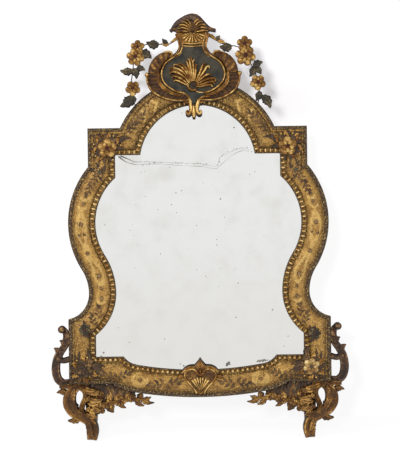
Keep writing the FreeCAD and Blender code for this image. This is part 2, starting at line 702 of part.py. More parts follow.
# Rosettes and sprays on the corner blocks
def corner_spray(x, z, radius, sprays, turn_deg):
    """A rosette with leaves round it as one carving."""
    pieces = [flower(x, z, SEAT, radius, 6, turn_deg)]
    for angle, length, width in sprays:
        a = math.radians(angle)
        pieces.append(leaf(x + 0.6 * radius * math.cos(a), z + 0.6 * radius * math.sin(a), SEAT,
                           angle, length, width))
    return in_front(joined(pieces), SEAT)


upper_x = SHOULDER_HALF - FRAME_WIDTH * 0.75
upper_z = SHOULDER_Z - FRAME_WIDTH * 0.77
lower_x = BASE_HALF - FRAME_WIDTH * 0.66
lower_z = BASE_Z + FRAME_WIDTH * 0.6
upper_spray = corner_spray(upper_x, upper_z, 16.0, [(40, 22, 18), (92, 18, 17), (-10, 20, 17), (165, 19, 15),
                                                    (-62, 19, 15)], 15)
lower_spray = corner_spray(lower_x, lower_z, 14.0, [(-45, 19, 18), (14, 19, 16), (98, 22, 16), (180, 21, 15),
                                                    (-98, 17, 15)], 0)
bud_x = SHOULDER_HALF - FRAME_WIDTH * 0.44
bud_z = sight_corners["ledge"][1] + FRAME_WIDTH * 0.27
dark_x = BASE_HALF - FRAME_WIDTH * 0.58
dark_z = sight_corners["flare"][1] + FRAME_WIDTH * 0.12
upper_bud = flower(bud_x, bud_z, SEAT, 9.5, 5, 30)
lower_bud = flower(dark_x, dark_z, SEAT, 9.5, 5, 0)
for side, turn in (("right", lambda s: s), ("left", mirrored)):
    parts[side + "_upper_rosette"] = turn(upper_spray)
    parts[side + "_lower_rosette"] = turn(lower_spray)
    parts[side + "_small_flowers"] = Part.makeCompound([turn(upper_bud), turn(lower_bud)])


# Heart-shaped shell on the middle of the bottom rail
heart_low = APRON_Z + HEART_LIFT
HEART_CROWN = [(0.0, heart_low + 61), (3.0, heart_low + 55.5), (7.5, heart_low + 49.5)]
HEART_LOBE = [(7.5, heart_low + 49.5), (15.7, heart_low + 50.5), (25.0, heart_low + 46),
              (30.0, heart_low + 39.5),
              (27.0, heart_low + 31), (17.0, heart_low + 16), (7.0, heart_low + 5), (0.0, heart_low + 1)]
heart_plate = closed_face([HEART_CROWN, HEART_LOBE], SEAT).extrude(FRONT * HEART_PLATE)
heart_front = SEAT + HEART_PLATE
heart_strokes = [
    heart_plate,
    stroke([(0, heart_low + 9), (0, heart_low + 22), (0, heart_low + 34)], [2.4, 4.0, 3.4], heart_front, 0.7),
    stroke([(0, heart_low + 44), (0, heart_low + 52), (0, heart_low + 59)], [3.0, 3.4, 0.8],
        heart_front, 0.7, sink=1.7),
]
for side in (1, -1):
    heart_strokes += [
        stroke([(3 * side, heart_low + 4), (10 * side, heart_low + 10.5), (19 * side, heart_low + 21),
                (25.5 * side, heart_low + 32), (27 * side, heart_low + 40), (22 * side, heart_low + 46),
                (14.5 * side, heart_low + 47), (10 * side, heart_low + 42)],
               [1.6, 2.2, 2.6, 2.8, 2.8, 3.0, 2.6, 1.4], heart_front, 0.9, sink=1.8),
        stroke([(2 * side, heart_low + 9), (7 * side, heart_low + 20), (10 * side, heart_low + 32)],
               [2.2, 3.2, 2.8], heart_front, 0.7, sink=1.6),
        stroke([(3 * side, heart_low + 9), (12 * side, heart_low + 19), (16.5 * side, heart_low + 31)],
               [2.0, 2.8, 2.4], heart_front, 0.7, sink=1.5),
    ]
parts["heart_cartouche"] = carving(heart_strokes, SEAT)


# Pierced scroll ears on the sides of the lower blocks
def beside(solid):
    """What of a solid lies outside the lower block's side."""
    slab = Part.makeBox(400, 400, 2 * SHOULDER_Z, Vector(BASE_HALF - 400, -200, -SHOULDER_Z))
    return solid.cut(slab)


def below(solid, z):
    """What of a solid lies under a height."""
    return solid.cut(Part.makeBox(800, 400, SHOULDER_Z, Vector(-400, -200, z)))


def above(solid, z):
    """What of a solid lies over a height."""
    return solid.cut(Part.makeBox(800, 400, SHOULDER_Z, Vector(-400, -200, z - SHOULDER_Z)))


e, b = BASE_HALF, BASE_Z - EAR_DROP
ear_strokes = [
    stroke([(e + 16, b + 90), (e + 18, b + 97), (e + 12, b + 100), (e + 6, b + 93), (e + 4, b + 80),
            (e + 9, b + 68), (e + 18, b + 57), (e + 25, b + 44), (e + 27, b + 27), (e + 23, b + 12),
            (e + 12, b + 3), (e - 4, b + 1)],
           [2.2, 3.0, 3.6, 4.4, 4.8, 4.8, 4.8, 5.2, 5.6, 5.4, 5.0, 4.5], EAR_DEPTH, 0.9, sink=7.0),
    stroke([(e + 21, b + 46), (e + 11, b + 42), (e - 4, b + 44)], [4.0, 3.6, 4.0], EAR_DEPTH, 0.9, sink=6.6),
    stroke([(e - 4, b + 84), (e + 3, b + 84), (e + 7, b + 80)], [5.0, 4.4, 3.0], EAR_DEPTH, 0.9, sink=6.8),
    stroke([(e + 8, b + 71), (e + 13, b + 74), (e + 17, b + 77)], [3.4, 2.6, 0.8], EAR_DEPTH, 0.8, sink=6.2),
    stroke([(e + 18, b + 57), (e + 23, b + 60), (e + 26, b + 63)], [3.4, 2.6, 0.8], EAR_DEPTH, 0.8, sink=6.0),
]
right_ear = above(beside(carving(ear_strokes, CARVING_BACK)), BASE_Z)
parts["right_ear"] = right_ear
parts["left_ear"] = mirrored(right_ear)


# Pierced scroll feet under the lower blocks
def tall(spots):
    """Points of the foot's drawing, stretched to the height of the blocks over the table."""
    return [(x, z * BASE_Z / FOOT_DRAWN_HEIGHT) for x, z in spots]


f = BASE_HALF - FOOT_INSET
eye_x, eye_z = tall([(f - 3.5, 64)])[0]
eye = Part.makeCone(7.0, 5.0, FOOT_DEPTH + FOOT_EYE_RISE - FOOT_BACK, at(eye_x, eye_z, FOOT_BACK), FRONT)
ring = [(eye_x + 11 * math.cos(math.radians(a)), eye_z + 11 * math.sin(math.radians(a)))
        for a in (-62, -10, 45, 100, 155, 210, 262)]
spur_x, spur_z = tall([(f + 13.5, 38)])[0]
tip_x, tip_z = tall([(f + 36.5, 79)])[0]
foot_strokes = [
    stroke(tall([(f - 4, -8), (f - 5, 11), (f - 4.5, 22), (f + 1.5, 33), (f + 14.5, 40),
                 (f + 26.5, 48), (f + 33, 60),
                 (f + 33.5, 72), (f + 28.5, 83), (f + 18.5, 97)]),
           [8.6, 10.2, 9.6, 8.4, 8.0, 9.4, 10.4, 10.0, 8.6, 7.0], FOOT_DEPTH, 0.7, sink=10.0),
    stroke(tall([(f + 9.5, 43), (f + 13.5, 52), (f + 10.5, 62), (f + 6.5, 72), (f + 7.5, 82),
        (f + 15.5, 97)]),
           [4.0, 4.6, 4.6, 4.4, 4.4, 4.4], FOOT_DEPTH, 0.8, sink=9.6),
    stroke(ring, [4.4, 5.2, 5.2, 5.2, 5.2, 4.8, 3.6], FOOT_DEPTH, 0.8, sink=9.2),
    stroke(tall([(f + 0.5, 46), (f - 9.5, 50), (f - 16.5, 58), (f - 17.5, 68)]), [4.4, 5.0, 5.0, 3.0],
           FOOT_DEPTH - 2, 0.8, sink=7.0),
    stroke(tall([(f + 14.5, 96), (f + 2.5, 87), (f - 9.5, 82), (f - 17.5, 76)]), [5.0, 5.4, 5.0, 2.0],
           FOOT_DEPTH - 1, 0.8, sink=7.8),
    leaf(spur_x, spur_z, FOOT_DEPTH - 1, -12, 24, 12),
    leaf(tip_x, tip_z, FOOT_DEPTH, 6, 19, 11),
    eye,
]
right_foot = below(carving(foot_strokes, FOOT_BACK), BASE_Z)
parts["right_foot"] = right_foot
parts["left_foot"] = mirrored(right_foot)


# Pierced leaf aprons under the bottom rail
a, p = BASE_HALF - APRON_INSET, APRON_Z
apron_strokes = [
    stroke([(a + 8, p - 13), (a - 6, p - 12), (a - 22, p - 10), (a - 40, p - 7), (a - 60, p - 4),
        (a - 76, p - 4),
            (a - 88, p - 5)], [3.4, 4.2, 4.2, 4.0, 3.4, 2.8, 1.2], APRON_DEPTH, 0.9, sink=4.0),
    stroke([(a - 9, p - 12), (a - 9, p + 4), (a - 8, p + 18), (a - 8, p + 30)], [4.0, 8.6, 9.0, 7.0],
           APRON_DEPTH - 1.5, 0.2, sink=2.4),
    stroke([(a - 32, p - 8), (a - 34, p + 4), (a - 35, p + 16), (a - 35, p + 28)], [4.0, 8.4, 8.4, 6.0],
           APRON_DEPTH - 1.6, 0.2, sink=2.2),
    stroke([(a - 56, p - 5), (a - 57, p + 4), (a - 58, p + 12), (a - 58, p + 20)], [3.4, 6.4, 6.0, 4.0],
           APRON_DEPTH - 1.7, 0.2, sink=2.0),
    leaf(a - 20, p - 11, APRON_DEPTH, 84, 38, 13),
    leaf(a - 74, p - 4, APRON_DEPTH, 100, 17, 9),
]
for x, z, angle, length, width in ((20, -11, 245, 17, 10), (32, -9, 222, 16, 9), (38, -7, 222, 17, 9),
                                   (66, -3, 218, 20, 10), (75, -3, 196, 25, 9), (80, -3, 168, 14, 8)):
    apron_strokes.append(leaf(a - x, p + z, APRON_DEPTH, angle, length, width))
for x, z, radius, turn_deg in ((6, -19, 9.5, 10), (4, 0, 7.0, 30), (19, -13, 7.0, 10), (41, -8, 9.0, 40)):
    apron_strokes.append(flower(a - x, p + z, APRON_DEPTH + 0.5, radius, 5, turn_deg))
right_apron = carving(apron_strokes, CARVING_BACK).cut(bottom_rail).cut(lower_block).cut(right_foot)
right_apron = max(right_apron.Solids, key=lambda s: s.Volume)
parts["right_apron"] = right_apron
parts["left_apron"] = mirrored(right_apron)


# Folding props on the back of the lower blocks, with two butt hinges each
prop_front = 2 * LEAF_THICK + LEAF_GAP
axis_x = PROP_INNER - KNUCKLE_RADIUS - KNUCKLE_GAP
axis_y = KNUCKLE_RADIUS + KNUCKLE_GAP
toe_start = PROP_REACH - PROP_TOE
prop_edges = [
    Part.makeLine(Vector(PROP_INNER, prop_front, PROP_HEEL_Z), Vector(PROP_INNER, prop_front, PROP_TOP)),
    Part.makeLine(Vector(PROP_INNER, prop_front, PROP_TOP), Vector(PROP_INNER, 0.14 * PROP_REACH, PROP_TOP)),
]
sweep = Part.BSplineCurve()
sweep.interpolate([Vector(PROP_INNER, y * PROP_REACH, z * PROP_TOP)
                   for y, z in ((0.14, 1.0), (0.34, 0.86), (0.42, 0.62), (0.66, 0.40), (0.93, 0.26),
                       (1.0, 0.12))])
prop_edges.append(sweep.toShape())
low = -PROP_REACH
prop_edges += [
    Part.makeLine(Vector(PROP_INNER, PROP_REACH, 0.12 * PROP_TOP), Vector(PROP_INNER, PROP_REACH, low)),
    Part.makeLine(Vector(PROP_INNER, PROP_REACH, low), Vector(PROP_INNER, toe_start, low)),
    Part.makeLine(Vector(PROP_INNER, toe_start, low), Vector(PROP_INNER, toe_start, PROP_HEEL_Z)),
    Part.Arc(Vector(PROP_INNER, toe_start, PROP_HEEL_Z),
             Vector(PROP_INNER, (toe_start + prop_front) / 2, 1.6 * PROP_HEEL_Z),
             Vector(PROP_INNER, prop_front, PROP_HEEL_Z)).toShape(),
]
prop = Part.Face(Part.Wire(prop_edges)).extrude(Vector(PROP_THICK, 0, 0))


def knuckle(z, length, radius):
    """A round length of a hinge on its axis."""
    return Part.makeCylinder(radius, length, Vector(axis_x, axis_y, z), Vector(0, 0, 1))


def hinge(z):
    """Fixed leaf, moving leaf, pin and screws of one butt hinge whose middle is at height z."""
    third = HINGE_LENGTH / 3
    foot = z - HINGE_LENGTH / 2
    moving_z, moving_length = foot + third + KNUCKLE_GAP / 2, third - KNUCKLE_GAP
    wide = PROP_INNER + PROP_THICK - axis_x
    fixed = Part.makeBox(wide, LEAF_THICK, HINGE_LENGTH, Vector(axis_x, 0, foot))
    moving = Part.makeBox(wide, LEAF_THICK, HINGE_LENGTH, Vector(axis_x, LEAF_THICK + LEAF_GAP, foot))
    room = KNUCKLE_RADIUS + KNUCKLE_GAP
    slot = Part.makeBox(2 * room, 20, third + KNUCKLE_GAP,
                        Vector(axis_x - room, -5, foot + third - KNUCKLE_GAP / 2))
    fixed = fixed.cut(slot)
    for start in (foot - 1, foot + 2 * third - KNUCKLE_GAP / 2):
        moving = moving.cut(Part.makeBox(2 * room, 20, third + 1 + KNUCKLE_GAP / 2,
            Vector(axis_x - room, -5, start)))
    fixed = joined([fixed, knuckle(foot, third, KNUCKLE_RADIUS),
                    knuckle(foot + 2 * third, third, KNUCKLE_RADIUS)])
    moving = joined([moving, knuckle(moving_z, moving_length, KNUCKLE_RADIUS)])
    bore = knuckle(foot - 1, HINGE_LENGTH + 2, PIN_RADIUS + PIN_FIT)
    fixed = fixed.cut(bore)
    moving = moving.cut(bore)
    pin = joined([knuckle(foot, HINGE_LENGTH, PIN_RADIUS),
                  knuckle(foot + HINGE_LENGTH, PIN_HEAD, KNUCKLE_RADIUS),
                  knuckle(foot - PIN_HEAD, PIN_HEAD, KNUCKLE_RADIUS)])
    screw_x = PROP_INNER + PROP_THICK / 2 + 1
    frame_screws, prop_screws, frame_holes, prop_holes = [], [], [], []
    for dz in (-HINGE_LENGTH / 3, HINGE_LENGTH / 3):
        for y, way, screws, holes in ((LEAF_THICK, -1, frame_screws, frame_holes),
                                      (LEAF_THICK + LEAF_GAP, 1, prop_screws, prop_holes)):
            head = Vector(screw_x, y, z + dz)
            for spare, target in ((0.0, screws), (SCREW_FIT, holes)):
                target.append(joined([
                    Part.makeCylinder(SCREW_HEAD_RADIUS + spare, SCREW_HEAD_THICK, head, Vector(0, way, 0)),
                    Part.makeCylinder(SCREW_RADIUS + spare, SCREW_LENGTH + spare, head, Vector(0, way, 0))]))
    fixed = fixed.cut(Part.makeCompound(frame_holes))
    moving = moving.cut(Part.makeCompound(prop_holes))
    return fixed, moving, pin, frame_screws, prop_screws, frame_holes, prop_holes


fixed_leaves, moving_leaves, pins, frame_screws, prop_screws = [], [], [], [], []
for z in (HINGE_LOW_Z, HINGE_HIGH_Z):
    fixed, moving, pin, one, two, frame_holes, prop_holes = hinge(z)
    fixed_leaves.append(fixed)
    moving_leaves.append(moving)
    pins.append(pin)
    frame_screws += one
    prop_screws += two
    lower_block = lower_block.cut(Part.makeCompound(frame_holes))
    prop = prop.cut(Part.makeCompound(prop_holes))
for side, turn in (("right", lambda s: s), ("left", mirrored)):
    parts[side + "_upper_block"] = turn(upper_block)
    parts[side + "_stile"] = turn(stile)
    parts[side + "_lower_block"] = turn(lower_block)
    parts[side + "_prop"] = turn(prop)
    parts[side + "_hinge_fixed_leaves"] = Part.makeCompound([turn(s) for s in fixed_leaves])
    parts[side + "_hinge_moving_leaves"] = Part.makeCompound([turn(s) for s in moving_leaves])
    parts[side + "_hinge_pins"] = Part.makeCompound([turn(s) for s in pins])
    parts[side + "_hinge_frame_screws"] = Part.makeCompound([turn(s) for s in frame_screws])
    parts[side + "_hinge_prop_screws"] = Part.makeCompound([turn(s) for s in prop_screws])
parts["arch_rail"] = arch_rail
parts["bottom_rail"] = bottom_rail


# Lean everything back, cut feet and props level with the table, centre the footprint and write it out
lean = FreeCAD.Placement(Vector(0, 0, 0), FreeCAD.Rotation(Vector(1, 0, 0), -LEAN_DEG))
table = Part.makeBox(4000, 4000, 1000, Vector(-2000, -2000, -1000))
leaning = {}
for name, shape in parts.items():
    shape = placed(shape, lean)
    if name.endswith("_foot") or name.endswith("_prop"):
        shape = shape.cut(table)
    leaning[name] = shape
whole = Part.makeCompound(list(leaning.values())).BoundBox
back_shift = -(whole.YMin + whole.YMax) / 2
for name, shape in leaning.items():
    shape = placed(shape, FreeCAD.Placement(Vector(0, back_shift, 0), FreeCAD.Rotation()))
    shape.exportStep("parts/" + name + ".step")
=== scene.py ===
"""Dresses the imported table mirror: gilt frame skins, pearls, old silvered glass, cresting, garlands and carving.

The face is drawn upright in local millimetres: x to the right, z up the face, depth out of the face.
Lean turns such points into the frame's metres.
"""
from __future__ import annotations

import json
import logging
import math
from dataclasses import dataclass, field
from enum import Enum
from typing import Any, Iterable, Sequence

import bpy
import numpy as np
from mathutils import Matrix, Vector

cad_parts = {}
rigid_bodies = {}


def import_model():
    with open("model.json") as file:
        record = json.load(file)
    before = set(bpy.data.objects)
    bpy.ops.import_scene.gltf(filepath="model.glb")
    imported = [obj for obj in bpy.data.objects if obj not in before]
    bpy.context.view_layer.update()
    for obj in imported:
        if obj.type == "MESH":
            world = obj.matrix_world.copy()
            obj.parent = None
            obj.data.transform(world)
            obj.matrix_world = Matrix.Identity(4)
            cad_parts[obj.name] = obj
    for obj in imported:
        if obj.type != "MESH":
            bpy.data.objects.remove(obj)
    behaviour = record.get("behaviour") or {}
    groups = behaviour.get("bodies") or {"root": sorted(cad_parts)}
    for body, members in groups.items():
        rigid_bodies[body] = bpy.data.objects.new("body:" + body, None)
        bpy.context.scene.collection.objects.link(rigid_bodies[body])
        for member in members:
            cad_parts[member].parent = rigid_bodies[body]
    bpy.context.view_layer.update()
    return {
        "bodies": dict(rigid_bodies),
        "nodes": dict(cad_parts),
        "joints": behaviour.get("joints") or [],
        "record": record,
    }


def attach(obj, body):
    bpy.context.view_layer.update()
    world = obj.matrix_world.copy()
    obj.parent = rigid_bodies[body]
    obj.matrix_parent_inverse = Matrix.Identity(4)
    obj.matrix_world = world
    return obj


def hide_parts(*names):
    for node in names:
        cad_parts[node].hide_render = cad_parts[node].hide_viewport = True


LOG = logging.getLogger("table_mirror")
Array = np.ndarray
Spot = tuple[float, float]
Place = tuple[float, float, float]
Colour = tuple[float, float, float]
FRAME_BODY = "mirror_frame"
MM_PER_M = 1000.0
SKIRT = 0.3
"""How far a flat back lies behind its seat where no back is given, in millimetres."""


def linear(colour: Colour) -> Colour:
    """Turns display values from 0 to 255 into linear light.

    Args:
        colour: red, green and blue as display values.

    Returns:
        Three values from 0 to 1, by the display curve's power law with its straight foot.
    """
    share = np.array(colour) / 255.0
    out = np.where(share <= 0.04045, share / 12.92, ((share + 0.055) / 1.055) ** 2.4)
    return tuple(float(v) for v in out)


@dataclass(frozen=True)
class Lean:
    """How the upright drawing stands in the frame: leaned back by an angle and shifted along the depth."""

    sine: float
    cosine: float
    shift: float

    @classmethod
    def of_hinge(cls, joint: dict[str, Any], behind: float = 2.4) -> "Lean":
        """Reads the lean from a prop hinge, whose axis runs up the face.

        Args:
            joint: a joint of the frame, with its axis and place.
            behind: how far the hinge's axis lies behind the face's back plane, in millimetres.

        Returns:
            The lean whose turned and shifted drawing puts the hinge where the frame has it.
        """
        sine, cosine = joint["axis"][1], joint["axis"][2]
        y, z = joint["pos_m"][1] * MM_PER_M, joint["pos_m"][2] * MM_PER_M
        height = (z + behind * sine) / cosine
        return cls(sine, cosine, y - behind * cosine - height * sine)

    def world(self, local: Array) -> Array:
        """Local points to metres: depth goes to minus y, then both turn about x by the lean.

        Args:
            local: an (n, 3) array of x, z and depth.

        Returns:
            An (n, 3) array in the frame.
        """
        x, z, depth = local.T
        y = -depth * self.cosine + z * self.sine + self.shift
        return np.column_stack([x, y, depth * self.sine + z * self.cosine]) / MM_PER_M


@dataclass
class Sheet:
    """Points in local millimetres with quads and triangles, and two painted values at each point."""

    points: Array
    quads: Array
    tris: Array
    # Darkens hollows, walls and feet of carvings, as grime and painted shade; below nought it brings out the rubbed
    # colour, as rubbing and painted highlight.
    recess: Array
    # Lays on the heart colour: real marks, and painted shade on the frame's lip and channel.
    tint: Array

    def mirrored(self) -> "Sheet":
        """The same surface on the other side of the middle, with its faces still outward."""
        return Sheet(self.points * (-1, 1, 1), self.quads[:, ::-1], self.tris[:, ::-1], self.recess, self.tint)

    def copied(self) -> "Sheet":
        """The same surface with points of its own."""
        return Sheet(self.points.copy(), self.quads, self.tris, self.recess, self.tint)

    def tipped(self, degrees: float, foot: Spot, shift: float) -> "Sheet":
        """The surface turned in the face's plane about a foot point and shifted sideways.

        Args:
            degrees: how far the top goes to the left.
            foot: the point it turns about.
            shift: sideways move after the turn.

        Returns:
            The turned copy.
        """
        a = math.radians(degrees)
        x, z = self.points[:, 0] - foot[0], self.points[:, 1] - foot[1]
        points = self.points.copy()
        points[:, 0] = foot[0] + x * math.cos(a) - z * math.sin(a) + shift
        points[:, 1] = foot[1] + x * math.sin(a) + z * math.cos(a)
        return Sheet(points, self.quads, self.tris, self.recess, self.tint)


def gathered(sheets: Iterable[Sheet]) -> Sheet:
    """Puts several surfaces into one, with each one's faces counted on from the points before it.

    Args:
        sheets: the surfaces.

    Returns:
        One surface with all of their points and faces.
    """
    parts = list(sheets)
    starts = np.cumsum([0] + [len(s.points) for s in parts[:-1]])
    return Sheet(
        np.concatenate([s.points for s in parts]),
        np.concatenate([s.quads + n for s, n in zip(parts, starts)]),
        np.concatenate([s.tris + n for s, n in zip(parts, starts)]),
        np.concatenate([s.recess for s in parts]),
        np.concatenate([s.tint for s in parts]),
    )


def lattice(rows: int, cols: int, wrap: bool = False) -> Array:
    """Quads of a grid of points counted row by row.

    Args:
        rows, cols: the grid's size.
        wrap: whether the last column joins the first.

    Returns:
        An (m, 4) array of point numbers.
    """
    i = np.arange(rows - 1)[:, None]
    j = np.arange(cols if wrap else cols - 1)[None, :]
    k = (j + 1) % cols
    corners = [i * cols + j, (i + 1) * cols + j, (i + 1) * cols + k, i * cols + k]
    return np.stack(np.broadcast_arrays(*corners), -1).reshape(-1, 4)


NO_TRIS = np.zeros((0, 3), int)


def end_fans(count: int, far: int, middle: int) -> Array:
    """Triangles that close a wrapped grid: a fan on its first row, and one turned the other way on its last.

    Args:
        count: points in a row.
        far: number of the last row's first point.
        middle: number of the first fan's middle point; the second fan's comes next.

    Returns:
        An (m, 3) array of point numbers.
    """
    j = np.arange(count)
    k = (j + 1) % count
    first = np.column_stack([np.full(count, middle), j, k])
    return np.concatenate([first, np.column_stack([np.full(count, middle + 1), far + k, far + j])])


def strewn(one: Sheet, points: Array) -> Sheet:
    """One surface many times over.

    Args:
        one: the surface, with its faces and painted values.
        points: a (copies, points, 3) array with the places of its points in each copy.

    Returns:
        All copies as one surface.
    """
    count = len(points)
    jump = (np.arange(count) * len(one.points))[:, None, None]
    quads, tris = (one.quads[None] + jump).reshape(-1, 4), (one.tris[None] + jump).reshape(-1, 3)
    return Sheet(points.reshape(-1, 3), quads, tris, np.tile(one.recess, count), np.tile(one.tint, count))


def near(distance: Array, width: float) -> Array:
    """A soft mark: 1 at no distance, falling off on both sides as a bell of this width."""
    return np.exp(-((distance / width) ** 2))


def distances(points: Array) -> Array:
    """How far along a line of points each of them lies."""
    return np.concatenate([[0], np.cumsum(np.linalg.norm(np.diff(points, axis=0), axis=1))])


def full_turn(count: int) -> Array:
    """Angles at even steps round a circle, as a row."""
    return np.linspace(0, 2 * np.pi, count, endpoint=False)[None, :]


def polar(middle: Spot, reach: float, angle: float) -> Spot:
    """The place at a distance and an angle, in radians, from a middle."""
    return middle[0] + reach * math.cos(angle), middle[1] + reach * math.sin(angle)


def both_sides(sheets: Sequence[Sheet]) -> list[Sheet]:
    """Right-hand surfaces with their left-hand fellows."""
    return [*sheets, *[sheet.mirrored() for sheet in sheets]]


def smooth_path(points: Sequence[Spot] | Array, steps: int) -> Array:
    """Even steps along a curve through points.

    Between two points the curve is the cubic whose slope at each point is half the step between its neighbours.

    Args:
        points: the points it goes through.
        steps: how many places are returned.

    Returns:
        A (steps, 2) array at even distances along the curve.
    """
    p = np.asarray(points, float)
    padded = np.vstack([2 * p[0] - p[1], p, 2 * p[-1] - p[-2]])
    per_point = 24
    t = np.linspace(0, len(p) - 1, per_point * len(p))
    k = np.minimum(t.astype(int), len(p) - 2)
    f = (t - k)[:, None]
    a, b, c, d = padded[k], padded[k + 1], padded[k + 2], padded[k + 3]
    dense = 0.5 * (2 * b + (c - a) * f + (2 * a - 5 * b + 4 * c - d) * f**2 + (3 * b - a - 3 * c + d) * f**3)
    run = distances(dense)
    even = np.linspace(0, run[-1], steps)
    return np.column_stack([np.interp(even, run, dense[:, i]) for i in range(2)])


class Section(Enum):
    """The cross sections that a carver's gouge leaves along a stroke."""

    ROLL = "round back"
    BLADE = "leaf with a sunk midrib"
    HOLLOW = "scooped band between two rims"
    REED = "three reeds side by side"


def section_rise(section: Section, v: Array) -> Array:
    """Height of a section across its width.

    Roll is a half circle, blade two swellings beside a midrib, hollow a parabola between rims, and reed three
    humps of a cosine. Blade and reed run out to nothing at the very edge.

    Args:
        section: which section.
        v: places across, from -1 to 1.

    Returns:
        Heights from 0 to 1.
    """
    a = np.abs(v)
    if section is Section.ROLL:
        return np.sqrt(np.clip(1 - a**2, 0, 1))
    edge = 1 - a**6
    if section is Section.BLADE:
        return (0.5 + 0.5 * np.sin(np.pi * a)) * edge
    if section is Section.HOLLOW:
        rim, floor = 0.8, 0.35
        return np.where(a < rim, floor + (1 - floor) * (a / rim) ** 2, 1 - 0.8 * ((a - rim) / (1 - rim)) ** 2)
    return (0.25 + 0.75 * np.abs(np.cos(1.5 * np.pi * a))) * edge


def carried(
    path: Sequence[Spot] | Array, halves: Sequence[float], seat: float, height: float,
    section: Section = Section.ROLL, steps: int = 30, across: int = 11,
    flutes: float = 0.0, pitch: float = 4.0, slant: float = 0.8, teeth: int = 0, notch: float = 0.3,
    curl: float = 0.0, back: float | None = None,
) -> Sheet:
    """A carved stroke: a section carried along a smooth path, closed by a flat back and two ends.

    A point is the path's place plus v half widths to the side, at the seat's depth plus the section's height.
    Slanted flutes take off a share of the height by the rectified sine of the distance along the path, and teeth
    draw the edges in by the rectified sine of the share along it. The height falls with the width, to three
    tenths where that is nought, and the edges keep about an eighth of it.

    Args:
        path: points in x and z.
        halves: half widths at even shares along the path.
        seat: depth the stroke lies on.
        height: its rise where it is widest.
        section: its cross section.
        steps, across: the grid's size.
        flutes, pitch, slant: depth, spacing and slope of slanted grooves.
        teeth, notch: number and depth of scallops along the edges.
        curl: how far the far end lifts off the seat.
        back: depth of the flat back.

    Returns:
        The closed surface.
    """
    centre = smooth_path(path, steps)
    share = np.linspace(0, 1, steps)
    half = np.interp(share, np.linspace(0, 1, len(halves)), halves)
    along = np.gradient(centre, axis=0)
    along /= np.linalg.norm(along, axis=1)[:, None]
    side = np.column_stack([-along[:, 1], along[:, 0]])
    run = distances(centre)
    v = np.linspace(-1, 1, across)
    edge = half * (1 - notch * (1 - np.abs(np.sin(np.pi * teeth * share)) ** 0.7)) if teeth else half
    rise = np.broadcast_to(section_rise(section, v), (steps, across)).copy()
    if flutes:
        wave = np.abs(np.sin(np.pi * (run[:, None] / pitch + slant * np.abs(v)[None, :])))
        rise *= 1 - flutes * (1 - wave)
    tall = height * (0.3 + 0.7 * half / half.max())
    depth = seat + tall[:, None] * (0.12 + 0.88 * rise) + curl * share[:, None] ** 2
    flat = centre[:, None, :] + side[:, None, :] * (v[None, :] * edge[:, None])[..., None]
    top = np.concatenate([flat, depth[..., None]], axis=2)
    low = seat - SKIRT if back is None else back
    walls = [np.concatenate([flat[:, [c], :], np.full((steps, 1, 1), low)], axis=2) for c in (0, -1)]
    rings = np.concatenate([walls[0], top, walls[1]], axis=1)
    cols = across + 2
    ends = np.array([[*centre[0], (low + depth[0].mean()) / 2], [*centre[-1], (low + depth[-1].mean()) / 2]])
    points = np.concatenate([rings.reshape(-1, 3), ends])
    tris = end_fans(cols, (steps - 1) * cols, steps * cols)
    # Darker where the section is low and full dark on the walls and end fans: grime in hollows with painted shade on
    # the sides.
    dark = np.pad(np.clip(1 - rise, 0, 1), ((0, 0), (1, 1)), constant_values=1.0).reshape(-1)
    recess = np.concatenate([dark, [1.0, 1.0]])
    return Sheet(points, lattice(steps, cols, True), tris, recess, np.zeros(len(points)))


def round_sheet(points: Array, recess: Array, tint: Array, back: float) -> Sheet:
    """Closes a polar grid whose first ring is its middle: a skirt to a flat back and a fan under it.

    Args:
        points: (rings, around, 3) local points, from the middle out.
        recess, tint: painted values on the same grid.
        back: depth of the flat back.

    Returns:
        The closed surface.
    """
    rings, around, _ = points.shape
    skirt = points[-1].copy()
    skirt[:, 2] = back
    middle = points[0].mean(axis=0)
    under = np.array([*skirt[:, :2].mean(axis=0), back])
    body = np.concatenate([points.reshape(-1, 3), skirt, [middle], [under]])
    tris = end_fans(around, rings * around, (rings + 1) * around)
    # The skirt is full dark: painted shade round the foot.
    dark = np.concatenate([recess.reshape(-1), np.ones(around), [recess[0].mean(), 1.0]])
    paint = np.concatenate([tint.reshape(-1), tint[-1], [tint[0].mean(), 0.0]])
    return Sheet(body, lattice(rings + 1, around, True), tris, dark, paint)


